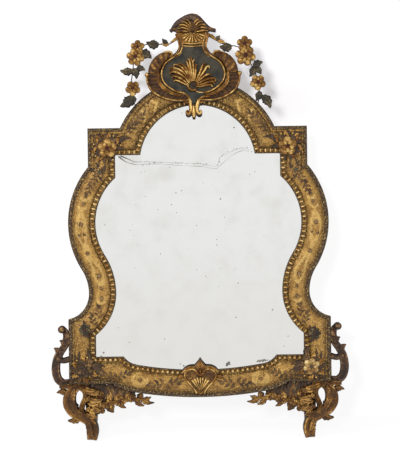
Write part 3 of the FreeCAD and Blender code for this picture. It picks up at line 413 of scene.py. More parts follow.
def bloom(
    x: float, z: float, seat: float, radius: float, petals: int, turn_deg: float, height: float, heart: float = 0.26
) -> Sheet:
    """A carved flower: two layers of cupped petals and a grained button.

    The radius of a layer is drawn in between petals by the rectified cosine of the angle. Its height is a sine of
    the distance out, so that petals swell and turn down at the rim, less a groove between and down each petal.

    Args:
        x, z, seat: the middle and the depth it lies on.
        radius: of the outer petals.
        petals, turn_deg: number of petals and where the first one points.
        height: full height.
        heart: the button's share of the radius.

    Returns:
        The closed surface; the button carries the heart colour.
    """
    theta = full_turn(60)
    r = np.linspace(0.06, 1, 8)[:, None]
    sheets = []
    for layer, (size, lift, turn) in enumerate(((1.0, 0.0, 0.0), (0.66, 0.34, 180.0 / petals))):
        spin = petals * (theta - math.radians(turn_deg + turn)) / 2
        lobe = np.abs(np.cos(spin)) ** 0.6
        vein = near(np.sin(spin), 0.16) * 0.22 * r
        reach = radius * size * r * (0.68 + 0.32 * lobe)
        swell = np.sin(np.pi * np.clip(0.1 + 0.72 * r, 0, 1)) ** 0.8
        rise = height * (lift + 0.62 * swell * (0.45 + 0.55 * lobe) * (1 - vein))
        points = np.stack([x + reach * np.cos(theta), z + reach * np.sin(theta), seat + rise], -1)
        # Darker between petals, down the veins and round the button: grime with painted shade.
        recess = np.clip((1 - lobe) * 0.9 + vein + 0.5 * near(r, 0.3), 0, 1)
        sheets.append(round_sheet(points, recess, np.zeros_like(recess), seat - SKIRT + 0.1 * layer))
    q, turns = np.linspace(0.08, 1, 5)[:, None], full_turn(18)
    reach = heart * radius * q + 0 * turns
    grain = 0.25 * np.cos(9 * turns) * q
    rise = height * (0.72 + 0.3 * np.sqrt(np.clip(1 - q**2, 0, 1))) + grain
    points = np.stack([x + reach * np.cos(turns), z + reach * np.sin(turns), seat + rise], -1)
    sheets.append(round_sheet(points, np.full_like(reach, 0.35), np.ones_like(reach), seat + 0.3 * height))
    return gathered(sheets)


def boss(x: float, z: float, seat: float, radius: float, height: float, back: float) -> Sheet:
    """A plain round knob: the height is a flattened half circle of the distance out.

    Args:
        x, z, seat: the middle and the depth it lies on.
        radius, height: its size.
        back: depth of the flat back.

    Returns:
        The closed surface.
    """
    r, turns = np.linspace(0.1, 1, 8)[:, None], full_turn(24)
    reach = radius * r + 0 * turns
    rise = seat + height * np.sqrt(1 - 0.9 * reach**2 / radius**2)
    points = np.stack([x + reach * np.cos(turns), z + reach * np.sin(turns), rise], -1)
    # Darker towards the rim: painted shade round the knob's foot.
    return round_sheet(points, (reach / radius) ** 4, np.zeros_like(reach), back)


def slab(top: Array, recess: Array, back: float) -> Sheet:
    """A grid surface closed by walls and a flat copy of itself behind.

    Args:
        top: (rows, cols, 3) local points, rows along and columns to the left of them.
        recess: painted values on the same grid.
        back: depth of the flat copy.

    Returns:
        The closed surface.
    """
    rows, cols, _ = top.shape
    under = top[:, ::-1].copy()
    under[..., 2] = back
    points = np.concatenate([top, under], axis=1).reshape(-1, 3)
    width = 2 * cols
    j = np.arange(cols - 1)
    start = np.column_stack([j, j + 1, width - 2 - j, width - 1 - j])
    finish = (start + (rows - 1) * width)[:, ::-1]
    # Walls and back full dark: painted shade.
    dark = np.concatenate([recess, np.ones_like(recess)], axis=1).reshape(-1)
    quads = np.concatenate([lattice(rows, width, True), start, finish])
    return Sheet(points, quads, NO_TRIS, dark, np.zeros(len(points)))


def scallop_shell(
    x: float, z: float, seat: float, radius: float, start_deg: float, end_deg: float, ribs: int, height: float
) -> Sheet:
    """A ribbed fan: the radius is scalloped and the height ribbed by the rectified cosine of the angle.

    Args:
        x, z, seat: the point that the ribs run from and the depth it lies on.
        radius: how far the ribs reach.
        start_deg, end_deg: the fan's spread.
        ribs: their number.
        height: the greatest rise, two thirds of the way out.

    Returns:
        The closed surface.
    """
    per_rib, rings = 8, 14
    share = np.linspace(0, 1, per_rib * ribs + 1)[None, :]
    angle = np.radians(start_deg + (end_deg - start_deg) * share)
    r = np.linspace(0.08, 1, rings)[:, None]
    rib = np.abs(np.sin(np.pi * ribs * share)) ** 0.8
    reach = radius * r * (0.9 + 0.1 * rib)
    rise = height * np.sin(np.pi * (0.12 + 0.68 * r)) * (0.5 + 0.5 * rib)
    top = np.stack([x + reach * np.cos(angle), z + reach * np.sin(angle), seat + rise], -1)
    # Darker in the grooves between ribs: grime with painted shade.
    recess = np.clip((1 - rib) + 0 * r, 0, 1)
    return slab(top, recess, seat - SKIRT)


def leaf_blade(x: float, z: float, seat: float, angle_deg: float, length: float, width: float, **more: Any) -> Sheet:
    """A toothed leaf from its stalk end: a blade section on a path that sways by a parabola.

    Args:
        x, z, seat: the stalk end and the depth it lies on.
        angle_deg, length, width: its lie and size.
        more: bend, the sway as a share of the length, and whatever a carried stroke takes.

    Returns:
        The closed surface.
    """
    a = math.radians(angle_deg)
    t = np.linspace(0, 1, 5)
    sway = more.pop("bend", 0.12) * length * t * (1 - t) * 4
    cosine, sine = math.cos(a), math.sin(a)
    path = np.column_stack([x + cosine * length * t - sine * sway, z + sine * length * t + cosine * sway])
    halves = [share * width for share in (0.12, 0.4, 0.52, 0.42, 0.22, 0.04)]
    values = {"teeth": 4, "notch": 0.24, "height": 0.2 * width, "curl": 1.0, "flutes": 0.3, "pitch": length / 4} | more
    return carried(path, halves, seat, section=Section.BLADE, steps=26, across=9, **values)


def leaves(table: Iterable[Sequence[float]], seat: float, **more: Any) -> list[Sheet]:
    """Leaves from a table of x, z, angle, length, width and, where one has it, a lift off the seat."""
    return [leaf_blade(x, z, seat + sum(lift), angle, long, wide, **more) for x, z, angle, long, wide, *lift in table]


@dataclass(frozen=True)
class Outline:
    """The frame's outline: arcs and lines whose every corner is a function of the inset u from the outer edge."""

    shoulder: Spot = (186.0, 529.0)
    arch_radius: float = 144.0
    arch_drop: float = 60.0
    bulge: Spot = (221.0, 368.0)
    bulge_radius: float = 148.0
    waist: Spot = (187.0, 249.0)
    waist_radius: float = 45.0
    swell_share: float = 0.66
    base: Spot = (222.5, 95.0)
    apron_z: float = 71.0
    apron_radius: float = 652.0
    apron_turn_x: float = 116.0
    apron_turn_radius: float = 80.0

    RUNS = (
        ("apex", "arch_end", "arch"), ("arch_end", "shoulder", ""), ("shoulder", "ledge", ""),
        ("ledge", "bulge", "bulge"), ("bulge", "turnover", "swell"), ("turnover", "waist", "hollow"),
        ("waist", "flare", "flare"), ("flare", "base", ""), ("base", "dip", ""), ("dip", "apron", "turn"),
        ("apron", "middle", "apron"),
    )

    def arcs(self) -> dict[str, tuple[float, float, float, int]]:
        """Works out the arcs; at inset u an arc's radius is its own radius plus its sign times u.

        Returns:
            Centre, radius and sign of each arc, by its name.
        """
        out, down = self.bulge[0] - self.waist[0], self.bulge[1] - self.waist[1]
        both = (out**2 + down**2) / (2 * out)
        swell = self.swell_share * both
        hollow = both - swell
        lean = math.asin(self.apron_turn_x / self.apron_radius)
        low = self.apron_z + self.apron_radius
        reach = self.apron_radius - self.apron_turn_radius
        return {
            "arch": (0.0, self.shoulder[1] - self.arch_drop, self.arch_radius, -1),
            "bulge": (self.bulge[0] - self.bulge_radius, self.bulge[1], self.bulge_radius, -1),
            "swell": (self.bulge[0] - swell, self.bulge[1], swell, -1),
            "hollow": (self.waist[0] + hollow, self.waist[1], hollow, 1),
            "flare": (self.waist[0] + self.waist_radius, self.waist[1], self.waist_radius, 1),
            "turn": (reach * math.sin(lean), low - reach * math.cos(lean), self.apron_turn_radius, -1),
            "apron": (0.0, low, self.apron_radius, -1),
        }

    def corners(self, u: Array) -> dict[str, Array]:
        """Corner points at insets u: where each pair of neighbouring offset arcs and lines meet.

        Args:
            u: insets from the outer edge.

        Returns:
            An (n, 2) array for each corner's name.
        """
        arcs = self.arcs()
        flat = np.zeros_like(u)
        sx, sz = self.shoulder[0] - u, self.shoulder[1] - u
        arch_z = arcs["arch"][1]
        bx, bz, br, _ = arcs["bulge"]
        wx, wz, wr, _ = arcs["swell"]
        hx, hz, _, _ = arcs["hollow"]
        fx, fz, fr, _ = arcs["flare"]
        tx, tz, tr, _ = arcs["turn"]
        reach = math.hypot(hx - wx, hz - wz)
        ex, ez = self.base[0] - u, self.base[1] + u
        slope = self.apron_turn_x / self.apron_radius
        spots = {
            "apex": (flat, arch_z + self.arch_radius - u),
            "arch_end": (np.sqrt((self.arch_radius - u) ** 2 - (sz - arch_z) ** 2), sz),
            "shoulder": (sx, sz),
            "ledge": (sx, bz + np.sqrt((br - u) ** 2 - (sx - bx) ** 2)),
            "bulge": (self.bulge[0] - u, flat + self.bulge[1]),
            "turnover": (wx + (wr - u) * (hx - wx) / reach, wz + (wr - u) * (hz - wz) / reach),
            "waist": (self.waist[0] - u, flat + self.waist[1]),
            "flare": (ex, fz - np.sqrt((fr + u) ** 2 - (fx - ex) ** 2)),
            "base": (ex, ez),
            "dip": (tx + np.sqrt((tr - u) ** 2 - (ez - tz) ** 2), ez),
            "apron": ((self.apron_radius - u) * slope,
                      self.apron_z + self.apron_radius - (self.apron_radius - u) * math.sqrt(1 - slope**2)),
            "middle": (flat, self.apron_z + u),
        }
        return {name: np.column_stack(pair) for name, pair in spots.items()}

    def run(self, number: int, u: Array, share: Array) -> Array:
        """Points of one run at insets u and shares along it: a line between corners, or an arc between their angles.

        Args:
            number: which run.
            u: insets.
            share: places along the run, 0 to 1.

        Returns:
            A (shares, insets, 2) array.
        """
        first, last, arc = self.RUNS[number]
        corners = self.corners(u)
        start, end = corners[first], corners[last]
        s = share[:, None]
        if not arc:
            return start[None] + (end - start)[None] * s[..., None]
        cx, cz, radius, sign = self.arcs()[arc]
        a = np.arctan2(start[:, 1] - cz, start[:, 0] - cx)
        turn = np.arctan2(end[:, 1] - cz, end[:, 0] - cx) - a
        turn = (turn + np.pi) % (2 * np.pi) - np.pi
        angle = a[None] + turn[None] * s
        reach = (radius + sign * u)[None]
        return np.stack([cx + reach * np.cos(angle), cz + reach * np.sin(angle)], -1)

    def chain(self, runs: Sequence[int], u: Array, step: float) -> tuple[Array, Array]:
        """Several runs end to end, at about even steps.

        Args:
            runs: their numbers in order.
            u: insets.
            step: distance between rows.

        Returns:
            A (rows, insets, 2) array and the distance of each row along the middle inset.
        """
        rows, half = [], len(u) // 2
        for number in runs:
            rough = self.run(number, u[half:half + 1], np.linspace(0, 1, 40))[:, 0]
            share = np.linspace(0, 1, max(2, int(distances(rough)[-1] / step) + 1))
            grid = self.run(number, u, share)
            rows.append(grid if not rows else grid[1:])
        points = np.concatenate(rows)
        return points, distances(points[:, half])


class Desk:
    """Adds and links shader nodes in one tree."""

    def __init__(self, tree: bpy.types.NodeTree) -> None:
        """Keeps the tree."""
        self.tree = tree

    def add(self, kind: str, inputs: dict[Any, Any] | None = None, **settings: Any) -> bpy.types.Node:
        """Adds a node; an input that is a socket is linked, and any other is set.

        Args:
            kind: the node's type.
            inputs: values or sockets by input name or number.
            settings: the node's own settings.

        Returns:
            The node.
        """
        node = self.tree.nodes.new(kind)
        for name, value in settings.items():
            setattr(node, name, value)
        for key, value in (inputs or {}).items():
            if isinstance(value, bpy.types.NodeSocket):
                self.tree.links.new(value, node.inputs[key])
            else:
                node.inputs[key].default_value = value
        return node

    def mix(self, share: Any, first: Any, second: Any) -> bpy.types.NodeSocket:
        """Mixes two colours by a share and returns the result's socket."""
        a, b = (end if isinstance(end, bpy.types.NodeSocket) else (*end, 1.0) for end in (first, second))
        return self.add("ShaderNodeMix", {0: share, 6: a, 7: b}, data_type="RGBA").outputs[2]

    def sum(self, kind: str, first: Any, second: Any, clamp: bool = False) -> bpy.types.NodeSocket:
        """One step of arithmetic on two values."""
        return self.add("ShaderNodeMath", {0: first, 1: second}, operation=kind, use_clamp=clamp).outputs[0]

    def span(
        self, value: Any, low: float, high: float, to_low: float = 0.0, to_high: float = 1.0
    ) -> bpy.types.NodeSocket:
        """Maps a value from one span to another with soft ends."""
        ends = {0: value, 1: low, 2: high, 3: to_low, 4: to_high}
        return self.add("ShaderNodeMapRange", ends, interpolation_type="SMOOTHSTEP").outputs[0]

    def noise(self, place: Any, scale: float, detail: float = 4.0, rough: float = 0.55) -> bpy.types.NodeSocket:
        """A cloudy value round one half; scale is in waves to the metre."""
        inputs = {"Vector": place, "Scale": scale, "Detail": detail, "Roughness": rough}
        return self.add("ShaderNodeTexNoise", inputs).outputs["Fac"]

    def object_place(self) -> bpy.types.NodeSocket:
        """The place on the object, in metres."""
        return self.add("ShaderNodeTexCoord").outputs["Object"]


def blank_material(name: str) -> tuple[bpy.types.Material, Desk]:
    """Starts a material.

    Args:
        name: its name.

    Returns:
        The material, with no nodes, and the desk for its tree.
    """
    made = bpy.data.materials.new(name)
    made.use_nodes = True
    made.node_tree.nodes.clear()
    return made, Desk(made.node_tree)


def shade_and_rubbing_group() -> bpy.types.NodeTree:
    """Builds the shared group that says where an old surface is darkened by grime and painted shade, lightened by
    rubbing and painted highlights, and mottled.

    Grime and painted shade are the recess plus clouds; rubbing and painted highlights are clouds past a threshold
    where the surface is proud; mottle is a slow cloud, and grain is a fine height.

    Returns:
        The node group.
    """
    tree = bpy.data.node_groups.new("old_surface", "ShaderNodeTree")
    for name, start in (("Dirt Amount", 1.0), ("Wear Amount", 0.3), ("Fineness", 1.0)):
        tree.interface.new_socket(name, in_out="INPUT", socket_type="NodeSocketFloat").default_value = start
    for name in ("Dirt", "Wear", "Mottle", "Grain", "Tint"):
        tree.interface.new_socket(name, in_out="OUTPUT", socket_type="NodeSocketFloat")
    desk = Desk(tree)
    gate = desk.add("NodeGroupInput")
    scaled = {0: desk.object_place(), "Scale": gate.outputs["Fineness"]}
    where = desk.add("ShaderNodeVectorMath", scaled, operation="SCALE").outputs[0]
    recess = desk.add("ShaderNodeAttribute", attribute_name="recess").outputs["Fac"]
    tint = desk.add("ShaderNodeAttribute", attribute_name="tint").outputs["Fac"]
    slow = desk.noise(where, scale=38.0, detail=5.0)
    quick = desk.noise(where, scale=190.0, detail=5.0, rough=0.65)
    fine = desk.noise(where, scale=900.0, detail=3.0, rough=0.6)
    cloud = desk.sum("MULTIPLY", desk.sum("SUBTRACT", quick, 0.5), 2.2)
    # The recess darkens hollows, walls and feet of carvings: grime, and painted shade.
    grime_shade = desk.sum("ADD", desk.sum("MULTIPLY", recess, 0.95), cloud)
    grime_shade = desk.sum("MULTIPLY", desk.span(grime_shade, low=0.22, high=1.0), gate.outputs["Dirt Amount"], True)
    # Proud parts, and points whose recess is below nought, take the rubbed colour: rubbed gilt and painted highlights.
    proud = desk.sum("SUBTRACT", 1.12, desk.sum("MULTIPLY", recess, 0.8))
    patches = desk.sum("ADD", slow, desk.sum("MULTIPLY", quick, 0.6))
    worn = desk.span(desk.sum("MULTIPLY", patches, proud), low=0.78, high=1.0)
    worn = desk.sum("MULTIPLY", worn, gate.outputs["Wear Amount"], True)
    mottle = desk.span(slow, low=0.3, high=0.7)
    desk.add("NodeGroupOutput", {"Dirt": grime_shade, "Wear": worn, "Mottle": mottle, "Grain": fine, "Tint": tint})
    return tree


@dataclass(frozen=True)
class Finish:
    """An old surface: two body colours that mottle, grime and painted shade in the hollows, a rubbed colour that is
    also painted highlight on proud parts, and a heart colour that is partly painted shade.

    The colours are display values from 0 to 255.
    """

    name: str
    slot: str
    light: Colour
    dark: Colour
    # Colour of grime, and of painted shade in hollows and on the walls and feet of carvings.
    grime_shade: Colour
    # Colour of rubbed gilt, and of painted highlights on proud ridges and twists.
    worn: Colour
    # Heart colour: real marks, and painted shade on the frame's lip and channel.
    heart: Colour = (63.19, 25.46, 25.46)
    metal: float = 0.0
    rough: float = 0.5
    # How strongly grime and painted shade darken.
    darkening: float = 0.9
    # How much of the rubbed colour shows: rubbed gilt and painted highlights.
    wear_highlight: float = 0.3
    fineness: float = 1.0
    bump: float = 0.25
    stipple: float = 0.0

    PUNCH_SCALE, PUNCH_WALL, PUNCH_FLOOR, FLOOR_DIRT = 330.0, (0.1, 0.45), (0.05, 0.3), 0.3
    SPECK_NOISE, SPECK_SPAN, SPECK_SHARE = (420.0, 2.0), (0.5, 0.66), 0.62
    GLINT_NOISE, GLINT_SPAN, GLINT_SHARE = (510.0, 2.0), (0.54, 0.68), 0.7
    DULL_DIRT, GRAIN_DEPTH = 0.3, 0.0006

    def material(self, group: bpy.types.NodeTree) -> bpy.types.Material:
        """Builds the finish as a material.

        Args:
            group: the shared group of grime, painted shade, rubbing and painted highlights.

        Returns:
            The material.
        """
        made, desk = blank_material(self.name)
        light, dark, grime_shade, worn, heart = map(linear, (self.light, self.dark, self.grime_shade, self.worn, self.heart))
        amounts = {"Dirt Amount": self.darkening, "Wear Amount": self.wear_highlight, "Fineness": self.fineness}
        surface_marks = desk.add("ShaderNodeGroup", amounts, node_tree=group)
        # Mottle is real tone; the rubbed colour on proud parts is rubbed gilt with painted highlights; the heart colour
        # is real marks and, on the frame's lip and channel, painted shade; the grime colour in hollows is grime with
        # painted shade.
        colour = desk.mix(surface_marks.outputs["Mottle"], dark, light)
        colour = desk.mix(surface_marks.outputs["Wear"], colour, worn)
        colour = desk.mix(surface_marks.outputs["Tint"], colour, heart)
        colour = desk.mix(surface_marks.outputs["Dirt"], colour, grime_shade)
        height = surface_marks.outputs["Grain"]
        if self.stipple:
            place = desk.object_place()
            cells = desk.add("ShaderNodeTexVoronoi", {"Vector": place, "Scale": self.PUNCH_SCALE}, feature="F1")
            punch = cells.outputs["Distance"]
            height = desk.sum("ADD", height, desk.sum("MULTIPLY", desk.span(punch, *self.PUNCH_WALL), self.stipple))
            speck = desk.noise(place, *self.SPECK_NOISE)
            speck = desk.span(speck, *self.SPECK_SPAN, to_high=self.SPECK_SHARE * self.stipple)
            colour = desk.mix(speck, colour, grime_shade)
            glint = desk.noise(place, *self.GLINT_NOISE)
            glint = desk.span(glint, *self.GLINT_SPAN, to_high=self.GLINT_SHARE * self.stipple)
            colour = desk.mix(glint, colour, worn)
            # Darker punch floors: grime with painted shade.
            floor = desk.span(punch, *self.PUNCH_FLOOR, self.FLOOR_DIRT * self.stipple, 0.0)
            colour = desk.mix(floor, colour, grime_shade)
        dull = desk.sum("ADD", desk.sum("MULTIPLY", surface_marks.outputs["Dirt"], self.DULL_DIRT), self.rough, True)
        lift = desk.add("ShaderNodeBump", {"Height": height, "Strength": self.bump, "Distance": self.GRAIN_DEPTH})
        inputs = {"Base Color": colour, "Roughness": dull, "Normal": lift.outputs[0]}
        if self.metal:
            inputs["Metallic"] = desk.sum("MULTIPLY", desk.sum("SUBTRACT", 1.0, surface_marks.outputs["Dirt"]), self.metal)
        desk.add("ShaderNodeOutputMaterial", {"Surface": desk.add("ShaderNodeBsdfPrincipled", inputs).outputs[0]})
        return made


GILT_FIELD = Finish(
    "gilt_gesso", "gilt_wood", (200, 154, 78), (148, 105, 46), (54, 34, 14), (232, 194, 116), (66, 49, 34),
    metal=0.25, rough=0.44, darkening=0.95, wear_highlight=0.55, fineness=1.9, stipple=0.9, bump=0.4,
)
GILT_CARVING = Finish(
    "gilt_carving", "gilt_wood", (190, 136, 58), (112, 70, 26), (34, 19, 8), (250, 214, 134), (96, 36, 22),
    metal=0.5, rough=0.32, wear_highlight=0.75, fineness=1.7,
)
GILT_DULL = Finish(
    "dull_gilt_carving", "gilt_wood", (146, 100, 44), (76, 48, 22), (28, 16, 9), (230, 182, 98), (80, 36, 24),
    metal=0.4, rough=0.38, wear_highlight=0.75, fineness=1.8,
)
EDGE_BROWN = Finish(
    "dark_sprays", "gilt_wood", (84, 60, 36), (50, 35, 21), (26, 17, 10), (160, 120, 66), (60, 40, 30),
    metal=0.1, rough=0.45, wear_highlight=0.6, fineness=1.8,
)
FIELD_SPRAY = Finish(
    "field_spray_paint", "gilt_wood", (112, 82, 46), (66, 46, 26), (44, 30, 17), (190, 146, 82),
    metal=0.1, rough=0.45, wear_highlight=1.0, fineness=2.4,
)
CREST_GILT = Finish(
    "crest_gilt", "gilt_wood", (122, 80, 34), (64, 38, 16), (28, 15, 7), (206, 156, 76), (80, 36, 24),
    metal=0.5, rough=0.42, wear_highlight=0.6, fineness=1.8,
)
WORN_BROWN = Finish(
    "worn_brown", "worn_brown_wood", (104, 73, 46), (54, 36, 25), (18, 11, 8), (178, 134, 82),
    metal=0.05, rough=0.42, darkening=1.1, wear_highlight=0.9, fineness=1.8,
)
PANEL_PAINT = Finish(
    "blue_grey_paint", "painted_panel", (50, 49, 41), (21, 22, 19), (16, 13, 9), (82, 72, 52),
    rough=0.55, darkening=0.6, wear_highlight=0.35, fineness=1.6,
)
ROOF_BROWN = Finish(
    "roof_brown", "worn_brown_wood", (82, 60, 46), (48, 34, 27), (24, 16, 12), (122, 92, 62),
    metal=0.05, rough=0.46, wear_highlight=0.45, fineness=1.8,
)
LEAF_PAINT = Finish(
    "leaf_paint", "painted_leaves", (68, 60, 39), (34, 29, 18), (18, 14, 8), (146, 122, 78),
    rough=0.46, wear_highlight=0.6, fineness=2.0,
)
FLOWER_GILT = Finish(
    "flower_gilt", "gilt_flowers", (184, 136, 62), (110, 72, 28), (38, 20, 8), (240, 206, 130), (66, 24, 18),
    metal=0.4, rough=0.38, darkening=1.0, wear_highlight=0.6, fineness=1.9,
)
PALE_FLOWER = Finish(
    "pale_flower_gilt", "gilt_flowers", (216, 180, 112), (146, 106, 54), (40, 24, 12), (250, 228, 172), (74, 66, 46),
    metal=0.2, rough=0.36, wear_highlight=0.6, fineness=1.9,
)
SMALL_FLOWER = Finish(
    "small_flower_gilt", "gilt_flowers", (156, 116, 62), (84, 62, 36), (32, 22, 12), (224, 186, 112), (70, 72, 56),
    metal=0.2, rough=0.38, wear_highlight=0.6, fineness=1.9,
)
BARE_WOOD = Finish(
    "bare_wood", "bare_wood", (150, 116, 80), (112, 82, 54), (66, 46, 30), (166, 132, 94),
    rough=0.65, darkening=0.7, wear_highlight=0.3, fineness=0.7,
)
AGED_WOOD = Finish(
    "aged_prop_wood", "bare_wood", (98, 72, 50), (66, 47, 32), (38, 26, 18), (124, 94, 66),
    rough=0.6, darkening=0.7, wear_highlight=0.3, fineness=0.9,
)
# Paler gold than the field for the pearls: a painted highlight.
PEARL_GILT = Finish(
    "pearl_gilt", "gilt_wood", (224, 178, 100), (172, 124, 60), (36, 21, 9), (250, 222, 160),
    metal=0.3, rough=0.3, darkening=1.0, wear_highlight=0.55, fineness=1.8,
)
DARK_IRON = Finish(
    "dark_iron", "dark_iron", (86, 74, 60), (52, 44, 36), (30, 24, 18), (116, 78, 48),
    metal=0.6, rough=0.5, wear_highlight=0.5, fineness=1.5,
)
CRACK = Finish(
    "crack_line", "silvered_glass", (186, 184, 178), (112, 110, 104), (84, 80, 74), (222, 222, 218),
    rough=0.4, darkening=0.6, wear_highlight=0.9, fineness=1.8,
)
SPECK = Finish(
    "silver_specks", "silvered_glass", (132, 128, 120), (84, 80, 72), (60, 56, 50), (168, 164, 156),
    rough=0.5, darkening=0.3, wear_highlight=0.3,
)


@dataclass(frozen=True)
class SilveredGlass:
    """Old mirror glass: a dull silver with grey clouds and foxing spots towards the edges."""

    name: str = "silvered_glass"
    silver: Colour = (233, 233, 232)
    low_silver: Colour = (226, 225, 221)
    cloud: Colour = (222, 221, 216)
    fox: Colour = (96, 90, 82)
    fall: Spot = (0.12, 0.42)
    haze_noise: Spot = (26.0, 6.0)
    haze_span: Spot = (0.4, 0.8)
    haze_dull: float = 0.05
    spot_scale: float = 46.0
    spot_pick: Spot = (0.55, 0.8)
    spot_edge: Spot = (0.03, 0.085)
    spot_dull: float = 0.5

    def material(self) -> bpy.types.Material:
        """Builds the mirror as a material of plain full metal, with spots as rough grey breaks in the silver.

        Returns:
            The material.
        """
        made, desk = blank_material(self.name)
        place = desk.object_place()
        haze = desk.span(desk.noise(place, *self.haze_noise), *self.haze_span)
        cells = desk.add("ShaderNodeTexVoronoi", {"Vector": place, "Scale": self.spot_scale}, feature="F1")
        pick = desk.add("ShaderNodeSeparateColor", {0: cells.outputs["Color"]}).outputs[0]
        pick = desk.span(pick, *self.spot_pick)
        dot = desk.span(cells.outputs["Distance"], *self.spot_edge, 1.0, 0.0)
        spots = desk.sum("MULTIPLY", dot, pick)
        # Darker and warmer towards the bottom: a painted reflection.
        height = desk.add("ShaderNodeSeparateXYZ", {0: place}).outputs["Z"]
        colour = desk.mix(desk.span(height, *self.fall, 1.0, 0.0), linear(self.silver), linear(self.low_silver))
        colour = desk.mix(haze, colour, linear(self.cloud))
        colour = desk.mix(spots, colour, linear(self.fox))
        dull = desk.sum("MULTIPLY", spots, self.spot_dull)
        dull = desk.sum("ADD", dull, desk.sum("MULTIPLY", haze, self.haze_dull), True)
        shader = desk.add("ShaderNodeBsdfPrincipled", {"Base Color": colour, "Roughness": dull, "Metallic": 1.0})
        desk.add("ShaderNodeOutputMaterial", {"Surface": shader.outputs[0]})
        return made


class Workshop:
    """Turns local surfaces into pieces that ride on the frame, each with its finish."""

    def __init__(self, frame: dict[str, Any]) -> None:
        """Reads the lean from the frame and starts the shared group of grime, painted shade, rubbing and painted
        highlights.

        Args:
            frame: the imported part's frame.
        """
        self.frame = frame
        self.lean = Lean.of_hinge(frame["joints"][0])
        self.group = shade_and_rubbing_group()
        self.made: dict[str, bpy.types.Material] = {}

    def material(self, finish: Finish | SilveredGlass) -> bpy.types.Material:
        """Finds a finish's material, and builds it on first use.

        Args:
            finish: the finish.

        Returns:
            The material.
        """
        if finish.name not in self.made:
            made = finish.material(self.group) if isinstance(finish, Finish) else finish.material()
            self.made[finish.name] = made
        return self.made[finish.name]

    def piece(self, name: str, sheet: Sheet, finish: Finish, stands_for: Sequence[str] = ()) -> None:
        """Makes one piece of the object, at the origin and riding on the frame's body.

        Args:
            name: its name.
            sheet: its surface.
            finish: its finish.
            stands_for: the nodes that it replaces.
        """
        mesh = bpy.data.meshes.new(name)
        points = self.lean.world(sheet.points)
        sizes = np.concatenate([np.full(len(sheet.quads), 4), np.full(len(sheet.tris), 3)])
        loops = np.concatenate([sheet.quads.reshape(-1), sheet.tris.reshape(-1)]).astype(np.int32)
        mesh.vertices.add(len(points))
        mesh.vertices.foreach_set("co", points.astype(np.float32).reshape(-1))
        mesh.loops.add(len(loops))
        mesh.loops.foreach_set("vertex_index", loops)
        mesh.polygons.add(len(sizes))
        mesh.polygons.foreach_set("loop_start", np.concatenate([[0], np.cumsum(sizes)[:-1]]).astype(np.int32))
        mesh.polygons.foreach_set("use_smooth", np.ones(len(sizes), bool))
        for key, values in (("recess", sheet.recess), ("tint", sheet.tint)):
            mesh.attributes.new(key, "FLOAT", "POINT").data.foreach_set("value", values.astype(np.float32))
        mesh.update(calc_edges=True)
        mesh.validate()
        made = bpy.data.objects.new(name, mesh)
        bpy.context.scene.collection.objects.link(made)
        mesh.materials.append(self.material(finish))
        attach(made, FRAME_BODY)
        if stands_for:
            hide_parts(*stands_for)
        LOG.info("piece %s: %d points, %d faces", name, len(points), len(sizes))

    def pair(self, name: str, right: Sheet, finish: Finish, node: str = "") -> None:
        """Makes a right-hand piece and its left-hand fellow; in both names, braces stand for the side."""
        for side, sheet in (("right", right), ("left", right.mirrored())):
            self.piece(name.format(side), sheet, finish, [node.format(side)] if node else [])

    def dress(self, finish: Finish | SilveredGlass, *nodes: str) -> None:
        """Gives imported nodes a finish.

        Args:
            finish: the finish.
            nodes: the nodes' names.
        """
        for node in nodes:
            made = self.frame["nodes"][node]
            made.data.materials.clear()
            made.data.materials.append(self.material(finish))
            LOG.info("node %s: %s", node, finish.name)


